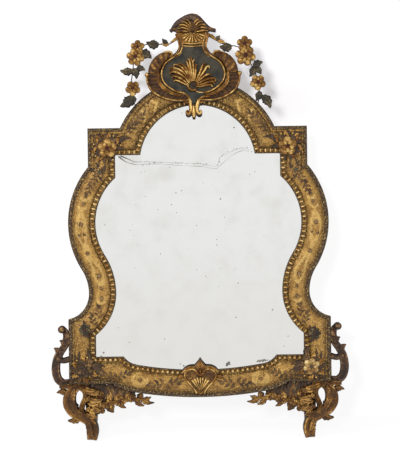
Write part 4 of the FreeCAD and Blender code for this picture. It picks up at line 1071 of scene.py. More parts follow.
@dataclass
class FrameSkin:
    """The gilt gesso over each board: dark rope edge, stippled field with low strapwork, channel and lip.

    Insets run in from the outline's outer edge, and depths out from the boards' back.
    """

    shop: Workshop
    outline: Outline = field(default_factory=Outline)
    coat: float = 0.3
    lining: float = -0.5
    step: float = 1.5
    foot: Spot = (0.6, 0.5)
    edge_depth: float = 13.9
    rope_pitch: float = 6.5
    rope_height: float = 0.8
    rope_middle: Spot = (4.0, 14.47)
    rope_radius: float = 4.03
    quirk: Spot = (8.3, 17.3)
    field_middle: float = 22.35
    field_half: float = 13.4
    crown: float = 24.0
    crown_radius: float = 19.79
    channel_depth: float = 16.3
    lip_inset: Spot = (43.3, 45.0)
    lip_depth: float = 18.7
    rebate: Spot = (44.2, 11.05)
    line_rise: float = 0.55
    dot_sink: float = 0.6

    ROPE_STEPS = 11
    FIELD_STEPS = 27
    QUIRK_COLUMN = 14
    FIELD_COLUMN = 28
    CHANNEL_COLUMNS = slice(-6, -3)
    LIP_COLUMNS = slice(-3, None)
    BOARDS = {"arch_rail": (0,), "upper_block": (1, 2), "stile": (3, 4, 5, 6), "lower_block": (7, 8),
              "bottom_rail": (9, 10)}
    MIDDLE = {"arch_rail": "start", "bottom_rail": "end"}
    # Base darkening of each board's field.
    BOARD_DARKENING = {"arch_rail": 0.6, "upper_block": 0.46, "stile": 0.2, "lower_block": 0.42, "bottom_rail": 0.28}
    ROPE_DARK = {"arch_rail": 1.0, "upper_block": 1.05, "stile": 1.25, "lower_block": 1.2, "bottom_rail": 1.3}
    DROPS = ((321, 60, 0.66), (313, -48, 0.58))
    ARCHLET = 362.0
    CHEVRONS = (405.0, 390.0, 231.0)
    EYES = (
        (414, 0, 2.3), (401, 0, 2.3), (366, 0, 3.0), (348, 0.36, 1.8), (348, -0.36, 1.8), (317, 0, 2.4), (279, 0, 2.9),
        (258, 0, 2.1), (241, 0, 2.5), (227, 0, 2.3),
    )
    RING = 102.0
    ARCH_MIDDLE = 469.0
    ARCH_CHEVRONS = (34.0, 46.0)
    SPRAYS = (
        (60, 95, 172, 1.4), (60, 95, -4, 1.4), (141, 107.5, 160, 1.2), (141, 107.5, 12, 1.2), (178, 194, 74, 1.1),
        (171, 207, 86, 1.1), (168, 449, -52, 1.1), (178, 435, -62, 1.1), (103, 537, 128, 1.2), (118, 521, 130, 1.2),
    )
    SPRIG = ((2.0, 58, 7.0), (4.5, -55, 7.5), (8.0, 48, 7.5), (10.5, -46, 7.0), (14.0, 30, 6.5), (15.5, -8, 7.5))

    def profile(self, c: float) -> tuple[Array, Array, Array]:
        """The section of the coat's face or lining.

        Args:
            c: how far the section stands outside the board's face.

        Returns:
            Insets, depths and a key that is 1 on the rope, 2 on the field and 0 elsewhere.
        """
        sunk = self.coat - c
        turn = np.radians(np.linspace(178, 40, self.ROPE_STEPS))
        reach = self.rope_radius + c
        rope_u, rope_d = self.rope_middle[0] + reach * np.cos(turn), self.rope_middle[1] + reach * np.sin(turn)
        first, last = self.field_middle - self.field_half, self.field_middle + self.field_half - sunk
        field_u = np.linspace(first, last, self.FIELD_STEPS)
        bow = np.sqrt(self.crown_radius**2 - (field_u - self.field_middle) ** 2)
        field_d = self.crown + c - self.crown_radius + bow
        lip, sight = self.lip_inset[0] + sunk, self.lip_inset[1] + c
        foot, channel, top = self.foot[1] + sunk, self.channel_depth - sunk, self.lip_depth - sunk
        low = self.rebate[1] + sunk
        u = np.concatenate([[self.foot[0], -c, -c], rope_u, self.quirk[:1], field_u,
                            [last, lip, lip, sight, sight, self.rebate[0]]])
        d = np.concatenate([[foot, foot, self.edge_depth], rope_d, [self.quirk[1] - sunk], field_d,
                            [channel, channel, top, top, low, low]])
        key = np.repeat([0, 1, 0, 2, 0], [3, self.ROPE_STEPS, 1, self.FIELD_STEPS, 6])
        return u, d, key

    def strapwork(self, board: str, x: Array, z: Array, t: Array) -> tuple[Array, Array]:
        """Low ornament on the field: a line is where the distance to a drop, arch or ring is small.

        Args:
            board: which board.
            x, z: places of the field's middle line, as columns.
            t: places across the field from -1 to 1, as a row.

        Returns:
            Raised lines and sunk dots, each from 0 to 1.
        """
        line = np.zeros(np.broadcast_shapes(x.shape, t.shape))
        dots = np.zeros_like(line)
        a = np.abs(t)
        if board == "stile":
            waist = 0.6
            for point, long, wide in self.DROPS:
                along = (z - point) / long
                side = self.field_half * (a - wide * along / waist)
                bow = 14.0 * (np.hypot(a / wide, (along - waist) / (1 - waist)) - 1)
                edge = np.where(along < waist, side, bow) + 40.0 * (along < 0)
                line = np.maximum(line, near(edge, 1.7))
            bow = 8.0 * (np.hypot((z - self.ARCHLET) / 10.0, t / 0.36) - 1)
            line = np.maximum(line, near(bow, 1.5) * (z > self.ARCHLET))
            for centre in self.CHEVRONS:
                line = np.maximum(line, near((z - centre) / 9.0 - a, 0.2) * (a < 0.6))
            for centre, place, size in self.EYES:
                dots = np.maximum(dots, near(np.hypot(z - centre, self.field_half * (t - place)), size))
        if board == "bottom_rail":
            ring = np.hypot((x - self.RING) / self.field_half, t)
            line = 0.4 * np.maximum(near(ring - 0.92, 0.16), 0.8 * near(ring - 0.55, 0.16))
            dots = near(ring, 0.16)
        if board == "arch_rail":
            angle = np.degrees(np.arctan2(x, z - self.ARCH_MIDDLE))
            for centre in self.ARCH_CHEVRONS:
                line = np.maximum(line, 0.8 * near((angle - centre) / 5.0 - a, 0.25) * (a < 0.7))
        return line, dots

    def board(self, name: str) -> Sheet:
        """The coat of one right-hand board: the section carried along its runs.

        Args:
            name: the board.

        Returns:
            The coat as a thin shell: its face, a lining inside the board, and a wall at each end off the middle line.
        """
        u, d, key = self.profile(self.coat)
        low_u, low_d, _ = self.profile(self.lining)
        half, count = len(u) // 2, len(u)
        insets = np.concatenate([low_u[:half], u, low_u[half:]])
        grid, run = self.outline.chain(self.BOARDS[name], insets, self.step)
        points, low = grid[:, half:half + count], np.concatenate([grid[:, :half], grid[:, half + count:]], axis=1)
        on_rope, on_field = key[None, :] == 1, key[None, :] == 2
        turn = np.cumsum(key == 1) / self.ROPE_STEPS
        twist = np.abs(np.sin(np.pi * (run[:, None] / self.rope_pitch + 0.9 * turn[None, :])))
        t = (u - self.field_middle)[None, :] / self.field_half
        middle = points[:, self.FIELD_COLUMN]
        line, dots = (mark * on_field for mark in self.strapwork(name, middle[:, :1], middle[:, 1:], t))
        depth = d + np.where(on_rope, self.rope_height * (twist - 0.5), 0)
        depth += self.line_rise * line - self.dot_sink * dots
        # Field darker towards its edges beside the rope and the channel: grime with painted shade.
        darkening = self.BOARD_DARKENING[name] + 0.5 * np.clip(t, 0, 1) ** 6 + 0.45 * np.clip(-t, 0, 1) ** 3
        darkening = darkening - 1.5 * line * (1 - dots) + 1.2 * dots
        # On the rope the recess goes below nought on the twists' crests, giving painted highlights, and rises in the
        # troughs as grime with painted shade.
        recess = np.where(on_rope, 0.9 * (1 - twist) - 0.15, np.where(on_field, np.clip(darkening, -1.2, 1), 0.55))
        recess[:, self.QUIRK_COLUMN] = 0.3
        # Channel and lip darkened: painted shade.
        recess[:, self.CHANNEL_COLUMNS], recess[:, self.LIP_COLUMNS] = 0.75, 0.95
        outer = np.clip((self.ROPE_DARK[name] - turn) / 0.25, 0, 1)[None, :]
        # Heart colour on the field's dots and the rope's outer turns; the lip's 0.8 and the channel's 0.3 are painted
        # shade.
        tint = np.where(on_field, np.clip(2.6 * dots, 0, 1), np.where(on_rope, outer, 0.8))
        tint[:, self.QUIRK_COLUMN], tint[:, self.CHANNEL_COLUMNS] = 0.0, 0.3
        face = np.concatenate([points, depth[..., None]], axis=2)
        inner = np.concatenate([low, np.broadcast_to(low_d, low.shape[:2])[..., None]], axis=2)
        loop = np.concatenate([face, inner[:, ::-1]], axis=1)
        dark = np.concatenate([recess, np.ones_like(recess)], axis=1).reshape(-1)
        paint = np.concatenate([tint, np.zeros_like(tint)], axis=1).reshape(-1)
        body = Sheet(loop.reshape(-1, 3), lattice(len(loop), 2 * count, True)[:, ::-1], NO_TRIS, dark, paint)
        walls = {"start": self.wall(face[0], inner[0]), "end": self.wall(inner[-1], face[-1])}
        walls.pop(self.MIDDLE.get(name), None)
        return gathered([body, *walls.values()])

    def wall(self, first: Array, second: Array) -> Sheet:
        """A wall between two sections, with points of its own so that the faces beside it keep their shading."""
        points = np.concatenate([first, second])
        return Sheet(points, lattice(2, len(first)), NO_TRIS, np.ones(len(points)), np.zeros(len(points)))

    def sprays(self) -> None:
        """Dark sprigs lying on the field: a thin stem with small leaves to both sides and one at its end."""
        sheets = []
        seat, back = self.crown + 0.1, self.crown - 3.5
        for x, z, angle, size in self.SPRAYS:
            ax, az = size * math.cos(math.radians(angle)), size * math.sin(math.radians(angle))
            stem = [(x + r * ax, z + r * az) for r in (0.0, 8.0, 16.0)]
            sheets.append(carried(stem, [0.6, 0.7, 0.5], seat, 0.8, steps=12, across=5, back=back))
            for reach, turn, long in self.SPRIG:
                sheets.append(leaf_blade(x + reach * ax, z + reach * az, seat, angle + turn, size * 1.15 * long,
                                         size * 4.0, height=1.3, curl=-0.4, back=back))
        self.shop.piece("field_sprays", gathered(both_sides([gathered(sheets)])), FIELD_SPRAY)

    def build(self) -> None:
        """Makes all eight coats and the dark leaf sprays on them."""
        for name in self.BOARDS:
            right = self.board(name)
            if name in self.MIDDLE:
                self.shop.piece("gilt_" + name, gathered(both_sides([right])), GILT_FIELD)
            else:
                self.shop.pair("gilt_{}_" + name, right, GILT_FIELD)
        self.sprays()


@dataclass
class Beading:
    """Pearls in the channel round the sight edge."""

    shop: Workshop
    outline: Outline = field(default_factory=Outline)
    inset: float = 40.9
    seat: float = 17.3
    radius: float = 3.2
    pitch: float = 8.4

    DRAWN = {"top": (0.66, 1.2), "side": (0.62, 1.36), "bottom": (0.84, 0.92)}
    RUNS = {"top": (0, 1), "side": (2, 3, 4, 5, 6, 7), "bottom": (8, 9, 10)}

    def pearl(self) -> Sheet:
        """One pearl: a dome of four rings of eight with a closed foot.

        Returns:
            The pearl, at the origin.
        """
        lat = np.radians([68, 42, 16, 0])[:, None]
        lon = np.radians(np.arange(0, 360, 45))[None, :]
        ball = np.stack([np.cos(lat) * np.cos(lon), np.cos(lat) * np.sin(lon), np.sin(lat) + 0 * lon], -1)
        # Bright top, dark foot: painted shade towards each pearl's foot.
        recess = np.repeat(np.array([[0.0], [0.05], [0.55], [1.0]]), 8, axis=1)
        sheet = round_sheet(ball * self.radius, recess, np.zeros_like(recess), -SKIRT)
        sheet.points[-2] = (0, 0, self.radius)
        return sheet

    def row(self, runs: Sequence[int], narrow: float, wide: float) -> Sheet:
        """A row of pearls at even steps along the channel: one pearl, drawn out across the run, added at each place.

        Args:
            runs: the outline's runs in order.
            narrow: how far a pearl is drawn out along the run.
            wide: how far it is drawn out across the run.

        Returns:
            All pearls of the row.
        """
        places, run = self.outline.chain(runs, np.array([self.inset]), 1.0)
        count = max(1, round(run[-1] / self.pitch))
        at = (np.arange(count) + 0.5) * run[-1] / count
        slope = np.gradient(places[:, 0], axis=0)
        slope /= np.linalg.norm(slope, axis=1)[:, None]
        x, z, tx, tz = (np.interp(at, run, values)[:, None] for values in (*places[:, 0].T, *slope.T))
        one = self.pearl()
        along, aside, height = one.points[None, :, 0] * narrow, one.points[None, :, 1] * wide, one.points[None, :, 2]
        sides = (x + (along * tx - aside * tz), z + (along * tz + aside * tx), self.seat + height + 0 * x)
        return strewn(one, np.stack(sides, -1))

    def build(self) -> None:
        """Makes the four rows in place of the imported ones."""
        for part, runs in self.RUNS.items():
            right = self.row(runs, *self.DRAWN[part])
            if part == "side":
                self.shop.pair("pearls_{}", right, PEARL_GILT, "beading_{}")
            else:
                self.shop.piece("pearls_" + part, gathered(both_sides([right])), PEARL_GILT, ["beading_" + part])


@dataclass
class MirrorGlass:
    """The silvered glass with its old crack."""

    shop: Workshop
    front: float = 11.0
    sunk: float = 10.9
    specks: int = 46
    seed: int = 11

    STRANDS = (
        ((-131, 482), (-122, 478.5), (-113, 474.3), (-105, 471.5), (-84, 471.5), (-63, 470.5), (-46, 469.5), (5, 467),
         (29, 462.5), (36, 469.5), (38, 477.5), (50, 484.5), (75, 493), (89, 489.5)),
        ((-134.5, 481.5), (-127.4, 475.7), (-119, 471), (-106, 467.3), (-90, 467.5), (-62, 467.5), (-30, 464.5),
         (6, 462.5), (30, 458.5), (40, 465.5), (60, 481.5), (76, 488.5), (88, 486.5)),
    )
    STRAND_HALVES = (1.3, 0.8, 0.3, 0.5, 0.1, 0.45, 0.1, 0.5, 0.15, 0.4, 0.1, 0.5, 0.12)
    LOW_SPOTS = (
        (-164, 148, 1.7), (-168, 141, 2), (-110, 127, 1.2), (-28, 124, 1.4), (-34, 127, 1), (46.5, 126, 2.6),
        (49, 128.5, 2), (45, 123.5, 1.7), (50.5, 125.5, 1.3), (97, 129.6, 1.3), (99, 130.6, 1.9), (101.8, 130.2, 2.1),
        (104, 131.4, 1.6), (106.6, 130.8, 2.3), (109.2, 132, 1.9), (111.4, 131.2, 1.5), (114, 131.8, 1.2),
        (117.5, 131.6, 0.8), (62, 205, 1.1), (150, 172, 1), (143, 155, 0.9), (-60, 170, 0.9), (-120, 165, 0.9),
        (-138, 190, 0.8),
    )

    def build(self) -> None:
        """Dresses the glass and lays the crack's strands on it as hair-thin strokes, with specks along them."""
        self.shop.dress(SilveredGlass(), "mirror_glass")
        strands = [carried(path, self.STRAND_HALVES, self.front, 0.12, steps=120, across=3, back=self.sunk)
                   for path in self.STRANDS]
        self.shop.piece("glass_crack", gathered(strands), CRACK)
        self.shop.piece("glass_specks", self.spots(), SPECK)

    def spots(self) -> Sheet:
        """Small flat domes at seeded places: some along the crack, some over the upper glass, some low down.

        Returns:
            All specks as one surface.
        """
        pick = np.random.default_rng(self.seed)
        beside = smooth_path(self.STRANDS[0], self.specks) + pick.normal(0, 1.6, (self.specks, 2))
        wide = np.column_stack([pick.uniform(-125, 120, self.specks), pick.uniform(250, 520, self.specks)])
        inside = np.hypot(wide[:, 0], np.maximum(wide[:, 1] - 462, 0) * 1.9) < 128
        low = np.array(self.LOW_SPOTS)
        places = np.concatenate([beside, wide[inside], low[:, :2]])
        sizes = np.concatenate([pick.uniform(0.35, 0.95, len(places) - len(low)), low[:, 2]])
        one = boss(0, 0, 0, 1, 0.1, -0.1)
        one.recess[:] = 0.0
        points = one.points[None] * np.stack([sizes, sizes, np.ones_like(sizes)], -1)[:, None, :]
        return strewn(one, points + np.column_stack([places, np.full(len(places), self.front)])[:, None, :])


@dataclass
class Cresting:
    """Painted panel in a rocaille border, with plume, clasp and shell finial; all tipped a little."""

    shop: Workshop
    tip: float = 0.3
    shift: float = -5.2
    drop: float = 2.0
    foot: Spot = (0.0, 574.0)
    plate: float = 29.3
    panel: float = 32.3
    cap: float = 33.3
    sunk: float = 26.0

    PANEL_SIDE = [(16.5, 666), (21, 655.5), (32, 648), (46.5, 637), (53, 620), (48, 604), (31, 591)]
    SHOULDER = [(33, 652.5), (45, 657.5), (60, 652), (71, 640), (76, 622)]
    SHOULDER_FOOT = [(35, 647), (45.5, 640), (53, 630), (56, 620)]
    FOOT_SCROLL = [(80, 618), (78, 604), (69, 589), (52, 578.5), (30, 573.5), (0, 574)]
    FOOT_TOP = [(57, 621), (56, 609), (50, 600), (33, 588), (0, 583)]
    BLADES = [
        ([(-5, 604), (-17, 616), (-28, 623), (-38, 626)], [4, 9, 10, 7, 2]),
        ([(-6, 601), (-17, 607), (-27, 612), (-36, 615)], [3, 6.5, 7, 5, 2]),
        ([(-1, 606), (-3, 621), (-4, 635), (-4, 648)], [4, 7, 7.5, 7, 2.5]),
        ([(5, 606), (12, 618), (18, 627), (22, 635)], [3, 5.5, 6, 5, 2]),
        ([(5, 602), (16, 605), (27, 607), (36, 604)], [3.5, 7.5, 8.5, 6.5, 2]),
    ]
    STRANDS = [
        [(-9, 599.5), (-17, 603.5), (-25, 607.5), (-31, 608.5), (-32.5, 606)],
        [(-8, 601), (-16, 608), (-25, 613.5), (-33, 615.5), (-36, 612.5)],
        [(-7, 603), (-13, 612), (-22, 619), (-31, 622.5), (-38, 621), (-38.5, 617.5)],
        [(-6.5, 604.5), (-12, 616), (-20, 624.5), (-30, 629), (-38, 629), (-39.5, 625.5)],
        [(-5.5, 606), (-10, 619), (-17, 628.5), (-25, 634), (-31, 634.5), (-32, 631)],
        [(-4.5, 607), (-8, 621), (-13, 630), (-19, 635.5), (-24, 636)],
        [(-3, 607), (-5.5, 620), (-8, 632), (-10.5, 639), (-13, 639.5)],
        [(-1, 607), (-2.5, 620), (-4.5, 633), (-6, 642), (-9, 643.5)],
        [(0.5, 607), (0.8, 620), (0.5, 632), (0, 640), (3, 642)],
        [(2, 607), (3.6, 618), (4.6, 627), (5, 633), (8, 634.5)],
        [(4, 606), (9, 616), (13, 625), (16.5, 634), (20.5, 636.5)],
        [(5, 605), (12, 614), (18, 622), (23, 630), (27, 631), (27, 627.5)],
        [(5.5, 603.5), (14, 611), (22, 616.5), (28, 617.5), (31, 614.5)],
        [(6, 602), (16, 606.5), (26, 610), (34, 611), (38, 607.5), (35.5, 605)],
        [(5.5, 600), (15, 601.5), (25, 604.5), (33, 604.5), (35, 600.5)],
        [(4, 598), (13, 597.5), (22, 599.5), (30, 600), (32, 596)],
    ]
    ROOF = [(-36.8, 690.5), (-31, 699), (-24.5, 705.2), (-15.5, 710), (-3.5, 714.3), (8, 709.8), (19.5, 701.2),
            (27.5, 694.8), (39.5, 691)]
    FAN = [[(2, 690), (9, 694.5), (17, 696.5), (25, 694)], [(2, 691.5), (8, 698), (15.5, 701.5), (22.5, 700.5)],
           [(1.5, 692.5), (6, 700.5), (12, 705.5), (17.5, 706)], [(1, 693.5), (3, 702), (6.5, 708), (11, 710)],
           [(3, 688.5), (11, 690), (19, 691), (26, 690)]]

    def placed(self, name: str, sheets: Sequence[Sheet], finish: Finish, nodes: Sequence[str] = ()) -> None:
        """Tips gathered surfaces into the cresting's place and makes the piece.

        Args:
            name: the piece's name.
            sheets: its surfaces.
            finish: its finish.
            nodes: the nodes that it replaces.
        """
        sheet = gathered(sheets).tipped(self.tip, self.foot, self.shift)
        sheet.points[:, 1] -= self.drop
        self.shop.piece(name, sheet, finish, nodes)

    def band(
        self, inner: Sequence[Spot], outer: Sequence[Spot], seat: float, bow: float,
        lobes: float = 0, depth: float = 0, slant: float = 0,
    ) -> Sheet:
        """A rocaille band between two curves: a bowed or scooped face with slanted lobes.

        A point lies a share t of the way from the inner to the outer curve. Its height is the bow times a half
        circle in t, less the lobes' gaps by the rectified sine of the share along plus the slant times t.

        Args:
            inner, outer: the two curves, from the top down.
            seat: depth of its edges.
            bow: how far the middle stands out, or lies back where it is negative.
            lobes, depth, slant: number, depth and slope of the lobes.

        Returns:
            The closed surface.
        """
        rows, cols, backing = 90, 13, 3.0
        s, t = np.linspace(0, 1, rows)[:, None], np.linspace(0, 1, cols)[None, :]
        a, b = smooth_path(inner, rows)[:, None, :], smooth_path(outer, rows)[:, None, :]
        flat = a + (b - a) * t[..., None]
        lobe = np.abs(np.sin(np.pi * (lobes * s + slant * t))) ** 0.7
        swell = np.sqrt(np.clip(1 - (2 * t - 1) ** 2, 0, 1))
        front = seat + bow * swell - depth * (1 - lobe) * swell
        # Darker in the lobes' gaps, and in the middle of a scooped band but towards the edges of a bowed one: grime
        # with painted shade.
        recess = np.clip((1 - lobe) * swell + (0.5 * swell if bow < 0 else 0.45 * (1 - swell)), 0, 1)
        return slab(np.concatenate([flat, front[..., None]], axis=2), recess, min(seat, seat + bow) - depth - backing)

    def build(self) -> None:
        """Makes the border, its fillets, the plume, the clasp and the finial."""
        for finish, node in ((PANEL_PAINT, "crest_panel"), (BARE_WOOD, "crest_block"), (AGED_WOOD, "crest_border")):
            self.shop.dress(finish, node)
        p = self.plate
        upper = self.band(self.SHOULDER_FOOT, self.SHOULDER, p + 1, 5, 5, 1.3, 0.7)
        lower = self.band(self.FOOT_TOP, self.FOOT_SCROLL, p + 6.6, -1.6, 13, 1.9, 1.1)
        self.placed("crest_rocaille", both_sides([upper, lower]), CREST_GILT)
        self.fillets()
        left, right = [(-20, 589), (-12, 584), (-6, 578), (-1.5, 569)], [(24, 588), (18, 584), (9, 578), (1.5, 569)]
        tongue = self.band(left, right, p + 6.8, 0.5)
        tongue.recess[:] = 0.35
        self.placed("crest_panel_tongue", [tongue], PANEL_PAINT)
        self.plume()
        self.clasp()
        self.finial()

    def fillets(self) -> None:
        """Gilt rolls and hollows along the border's edges, the panel's two sides and its head."""
        p, back = self.plate, {"back": self.sunk}
        edges = [
            carried([(78.5, 619), (76.6, 604), (67.6, 590), (51, 580), (29.5, 575), (6, 576)], [1.4, 1.7, 1.7, 1.4],
                    p + 4.6, 4, Section.ROLL, 60, 9, **back),
            carried([(58.5, 623), (58, 609), (51.5, 598), (35, 586.5), (22, 582.5)], [1.2, 2.4, 2.8, 2.4, 1],
                    p + 5, 3.4, Section.HOLLOW, 50, 11, **back),
            carried([(25.3, 687), (23, 681), (20.4, 671), (19.8, 664), (21.8, 656.5), (27, 651), (34, 646.5)],
                    [4.2, 4, 4, 4, 3.8, 3, 1.4], p, 4.6, Section.HOLLOW, 50, 11, back=self.sunk - 0.5),
            boss(78, 619, p + 4.6, 3.6, 4, **back),
            carried([(34, 651), (37, 656.5), (45, 657), (52, 655)], [1.4, 2, 1.8, 0.8], p + 2, 3.6, steps=30,
                    **back),
        ]
        right = [*self.PANEL_SIDE, (15, 587.5), (6, 589), (1.5, 593.5)]
        left = [*[(-x, z) for x, z in self.PANEL_SIDE], (-17, 587), (-8.5, 580.5), (-4, 571.5)]
        halves, roll = [1.5, 1.7, 1.8, 1.8, 1.9], {"steps": 90, "across": 9, "back": self.sunk - 1.0}
        loose = [
            carried(right, [*halves, 2.1, 1.4], p + 3, 5.4, **roll),
            carried(left, [*halves, 2.2, 2], p + 3, 5.4, **roll),
            carried([(-17, 671.5), (0, 670), (17, 671.5)], [1.5, 1.7, 1.5], p + 2, 3.4, steps=24, **back),
            carried([(-16.5, 666.8), (0, 665.4), (16.5, 666.8)], [1.2, 1.3, 1.2], p + 2, 2.8, steps=24, **back),
        ]
        self.placed("crest_fillets", [*both_sides(edges), *loose], GILT_CARVING)

    def plume(self) -> None:
        """A feathery spray on the panel: broad brown blades round a dark eye, with hooked gilt strands over them."""
        p, back = self.panel, self.panel - 0.5
        ground = [carried(path, halves, p - 0.2, 3.2, Section.BLADE, 36, 13, flutes=0.35, pitch=5, teeth=4,
                          notch=0.22, curl=1, back=back) for path, halves in self.BLADES]
        eye = boss(1.4, 602.5, p + 1.6, 4.8, 1.6, back)
        eye.recess[:] = 1.0
        lobe = carried([(-8, 602), (-8.5, 597), (-4.5, 592.5), (1.5, 592), (5.5, 595)], [1.4, 2.6, 3, 2.6, 1.2],
                       p + 1.4, 4.4, back=back)
        self.placed("crest_plume_ground", [*ground, eye, lobe], CREST_GILT)
        halves = [1, 1.9, 2.4, 2.4, 1.9, 1.1]
        sheets = [carried(path, halves, p + 1.0 + 0.6 * (i % 3), 5, Section.ROLL, 44, 11, curl=2.2, back=back)
                  for i, path in enumerate(self.STRANDS)]
        self.placed("crest_plume_carving", sheets, GILT_CARVING, ["crest_plume"])

    def clasp(self) -> None:
        """Two hooked scrolls and a drop that lap over the glass's top edge."""
        seat = self.plate + 3
        low, deep = seat - 5, seat - 5.6
        wide = [1.4, 2.4, 3, 3.4, 3.6, 3.4, 3, 2.4, 1.5]
        right = [(27, 580), (19, 581), (11.5, 578), (7.2, 571), (5.2, 563), (5.8, 556), (9.4, 552.5), (12.4, 555),
                 (10, 558.5)]
        left = [(-14, 585), (-8.5, 579.5), (-5.8, 571), (-4.8, 563), (-5.6, 556), (-9.2, 552.5), (-12.2, 555),
                (-9.8, 558.5)]
        hooks = [carried(path, wide, seat, 4.8, Section.ROLL, 60, 11, back=deep) for path in (right, left)]
        drop = carried([(0, 566), (0, 557), (0, 550.5), (0, 546.5)], [1.4, 2.4, 3.8, 2.2], seat - 0.4, 5, steps=28,
                       back=deep)
        sprig = [leaf_blade(30, 582, seat - 1.5, 196, 15, 9, curl=1.6, back=low),
                 leaf_blade(16, 577, seat - 1.5, 222, 10, 7, back=low)]
        self.placed("crest_clasp_carving", [*hooks, *both_sides(sprig), drop], GILT_CARVING, ["crest_clasp"])

    def finial(self) -> None:
        """A dark roof with flared tips over a fan of leaves, above a small shell turned downwards."""
        seat, back = self.cap, self.cap - 6
        self.shop.dress(ROOF_BROWN, "finial_cap")
        roof = carried(self.ROOF, [2, 3.4, 5, 5.8, 5.8, 5.8, 5, 3.4, 2.2], seat, 4, Section.ROLL, 70, 11,
                       flutes=0.3, pitch=6, slant=0.4, back=back)
        self.placed("finial_roof", [roof], ROOF_BROWN)
        fan = [carried(path, [0.9, 1.8, 2.1, 1], seat + 2.0 + 0.4 * i, 3.4, steps=34, curl=1.2)
               for i, path in enumerate(self.FAN)]
        tip = leaf_blade(27, 693.5, seat + 2.4, 6, 8, 4.5, curl=0.6)
        spire = leaf_blade(0, 690, seat + 3, 90, 14, 5, bend=0, curl=0.8, height=2.8)
        shell = scallop_shell(0, 688.4, seat + 1.6, 17.4, 192, 348, 9, 4.4)
        spread = 1.22
        shell.points[:, 0] *= spread
        sleeve = carried([(25.6, 688), (23.2, 681), (21, 673)], [4, 4, 3.4], seat - 0.6, 3.2, Section.HOLLOW, 24,
                         11, back=back)
        top = [(22, 690.5), (11, 688.5), (0, 688), (-11, 688.5), (-22, 690.5)]
        foot = [(18, 673), (9, 671.5), (0, 671), (-9, 671.5), (-18, 673)]
        throat = self.band(foot, top, seat + 0.2, 0.8)
        throat.recess[:] = 0.45
        self.placed("finial_fan", [*both_sides([*fan, tip]), spire], GILT_DULL)
        self.placed("finial_shell_carving", [*both_sides([sleeve]), shell, throat], GILT_CARVING, ["finial_shell"])


@dataclass
class Garlands:
    """Flowers and painted leaves on the two wires."""

    shop: Workshop
    seat: float = 27.9
    drop: float = 2.0

    FLOWERS = {
        "left": [(-98.5, 666, 12, 5), (-102.3, 649.5, 15.5, 6), (-107.3, 596.5, 13, 5)],
        "right": [(82, 669.5, 13.5, 5), (83, 649.5, 17.5, 6), (103.5, 604, 13.5, 5)],
    }
    LEAVES = {
        "left": [(-62.5, 671.5, 172, 20, 15), (-95, 656, -25, 20, 16), (-107, 628, 182, 20, 13),
                 (-107, 630, -72, 17, 13), (-101, 630, -12, 14, 10), (-108.5, 585, 222, 26, 18),
                 (-107, 584, 262, 13, 9), (-47, 672, 140, 12, 8)],
        "right": [(60, 667, 184, 19, 15), (36, 675, 60, 9, 8), (96, 632, 250, 18, 12), (97, 630, 28, 16, 13),
                  (100, 628, -50, 13, 10), (105.5, 590, 250, 17, 12), (109.5, 581.5, 304, 24, 15)],
    }
    SHEATHS = {
        "left": [(-31, 684, 218, 17, 6), (-45, 671, 176, 14, 7)],
        "right": [(20, 686, -38, 18, 6), (36, 674, -14, 14, 8)],
    }

    def build(self) -> None:
        """Makes flowers, leaves and gilt sheaths and dresses the wires."""
        seat, drop = self.seat, self.drop
        for side in ("left", "right"):
            name = side + "_garland_"
            blooms = [bloom(x, z - drop, seat + 0.4 * i, radius, petals, 90 + 17 * i, 0.5 * radius)
                      for i, (x, z, radius, petals) in enumerate(self.FLOWERS[side])]
            self.shop.piece(name + "blooms", gathered(blooms), FLOWER_GILT, [name + "flowers"])
            foliage = [leaf_blade(x, z - drop, seat, a, 1.08 * long, 1.15 * wide, curl=2.4, height=0.26 * wide)
                       for x, z, a, long, wide in self.LEAVES[side]]
            self.shop.piece(name + "foliage", gathered(foliage), LEAF_PAINT, [name + "leaves"])
            sheaths = leaves([(x, z - drop, *lie) for x, z, *lie in self.SHEATHS[side]], seat, curl=1)
            self.shop.piece(name + "sheaths", gathered(sheaths), FLOWER_GILT)
            self.shop.dress(DARK_IRON, name + "wire")


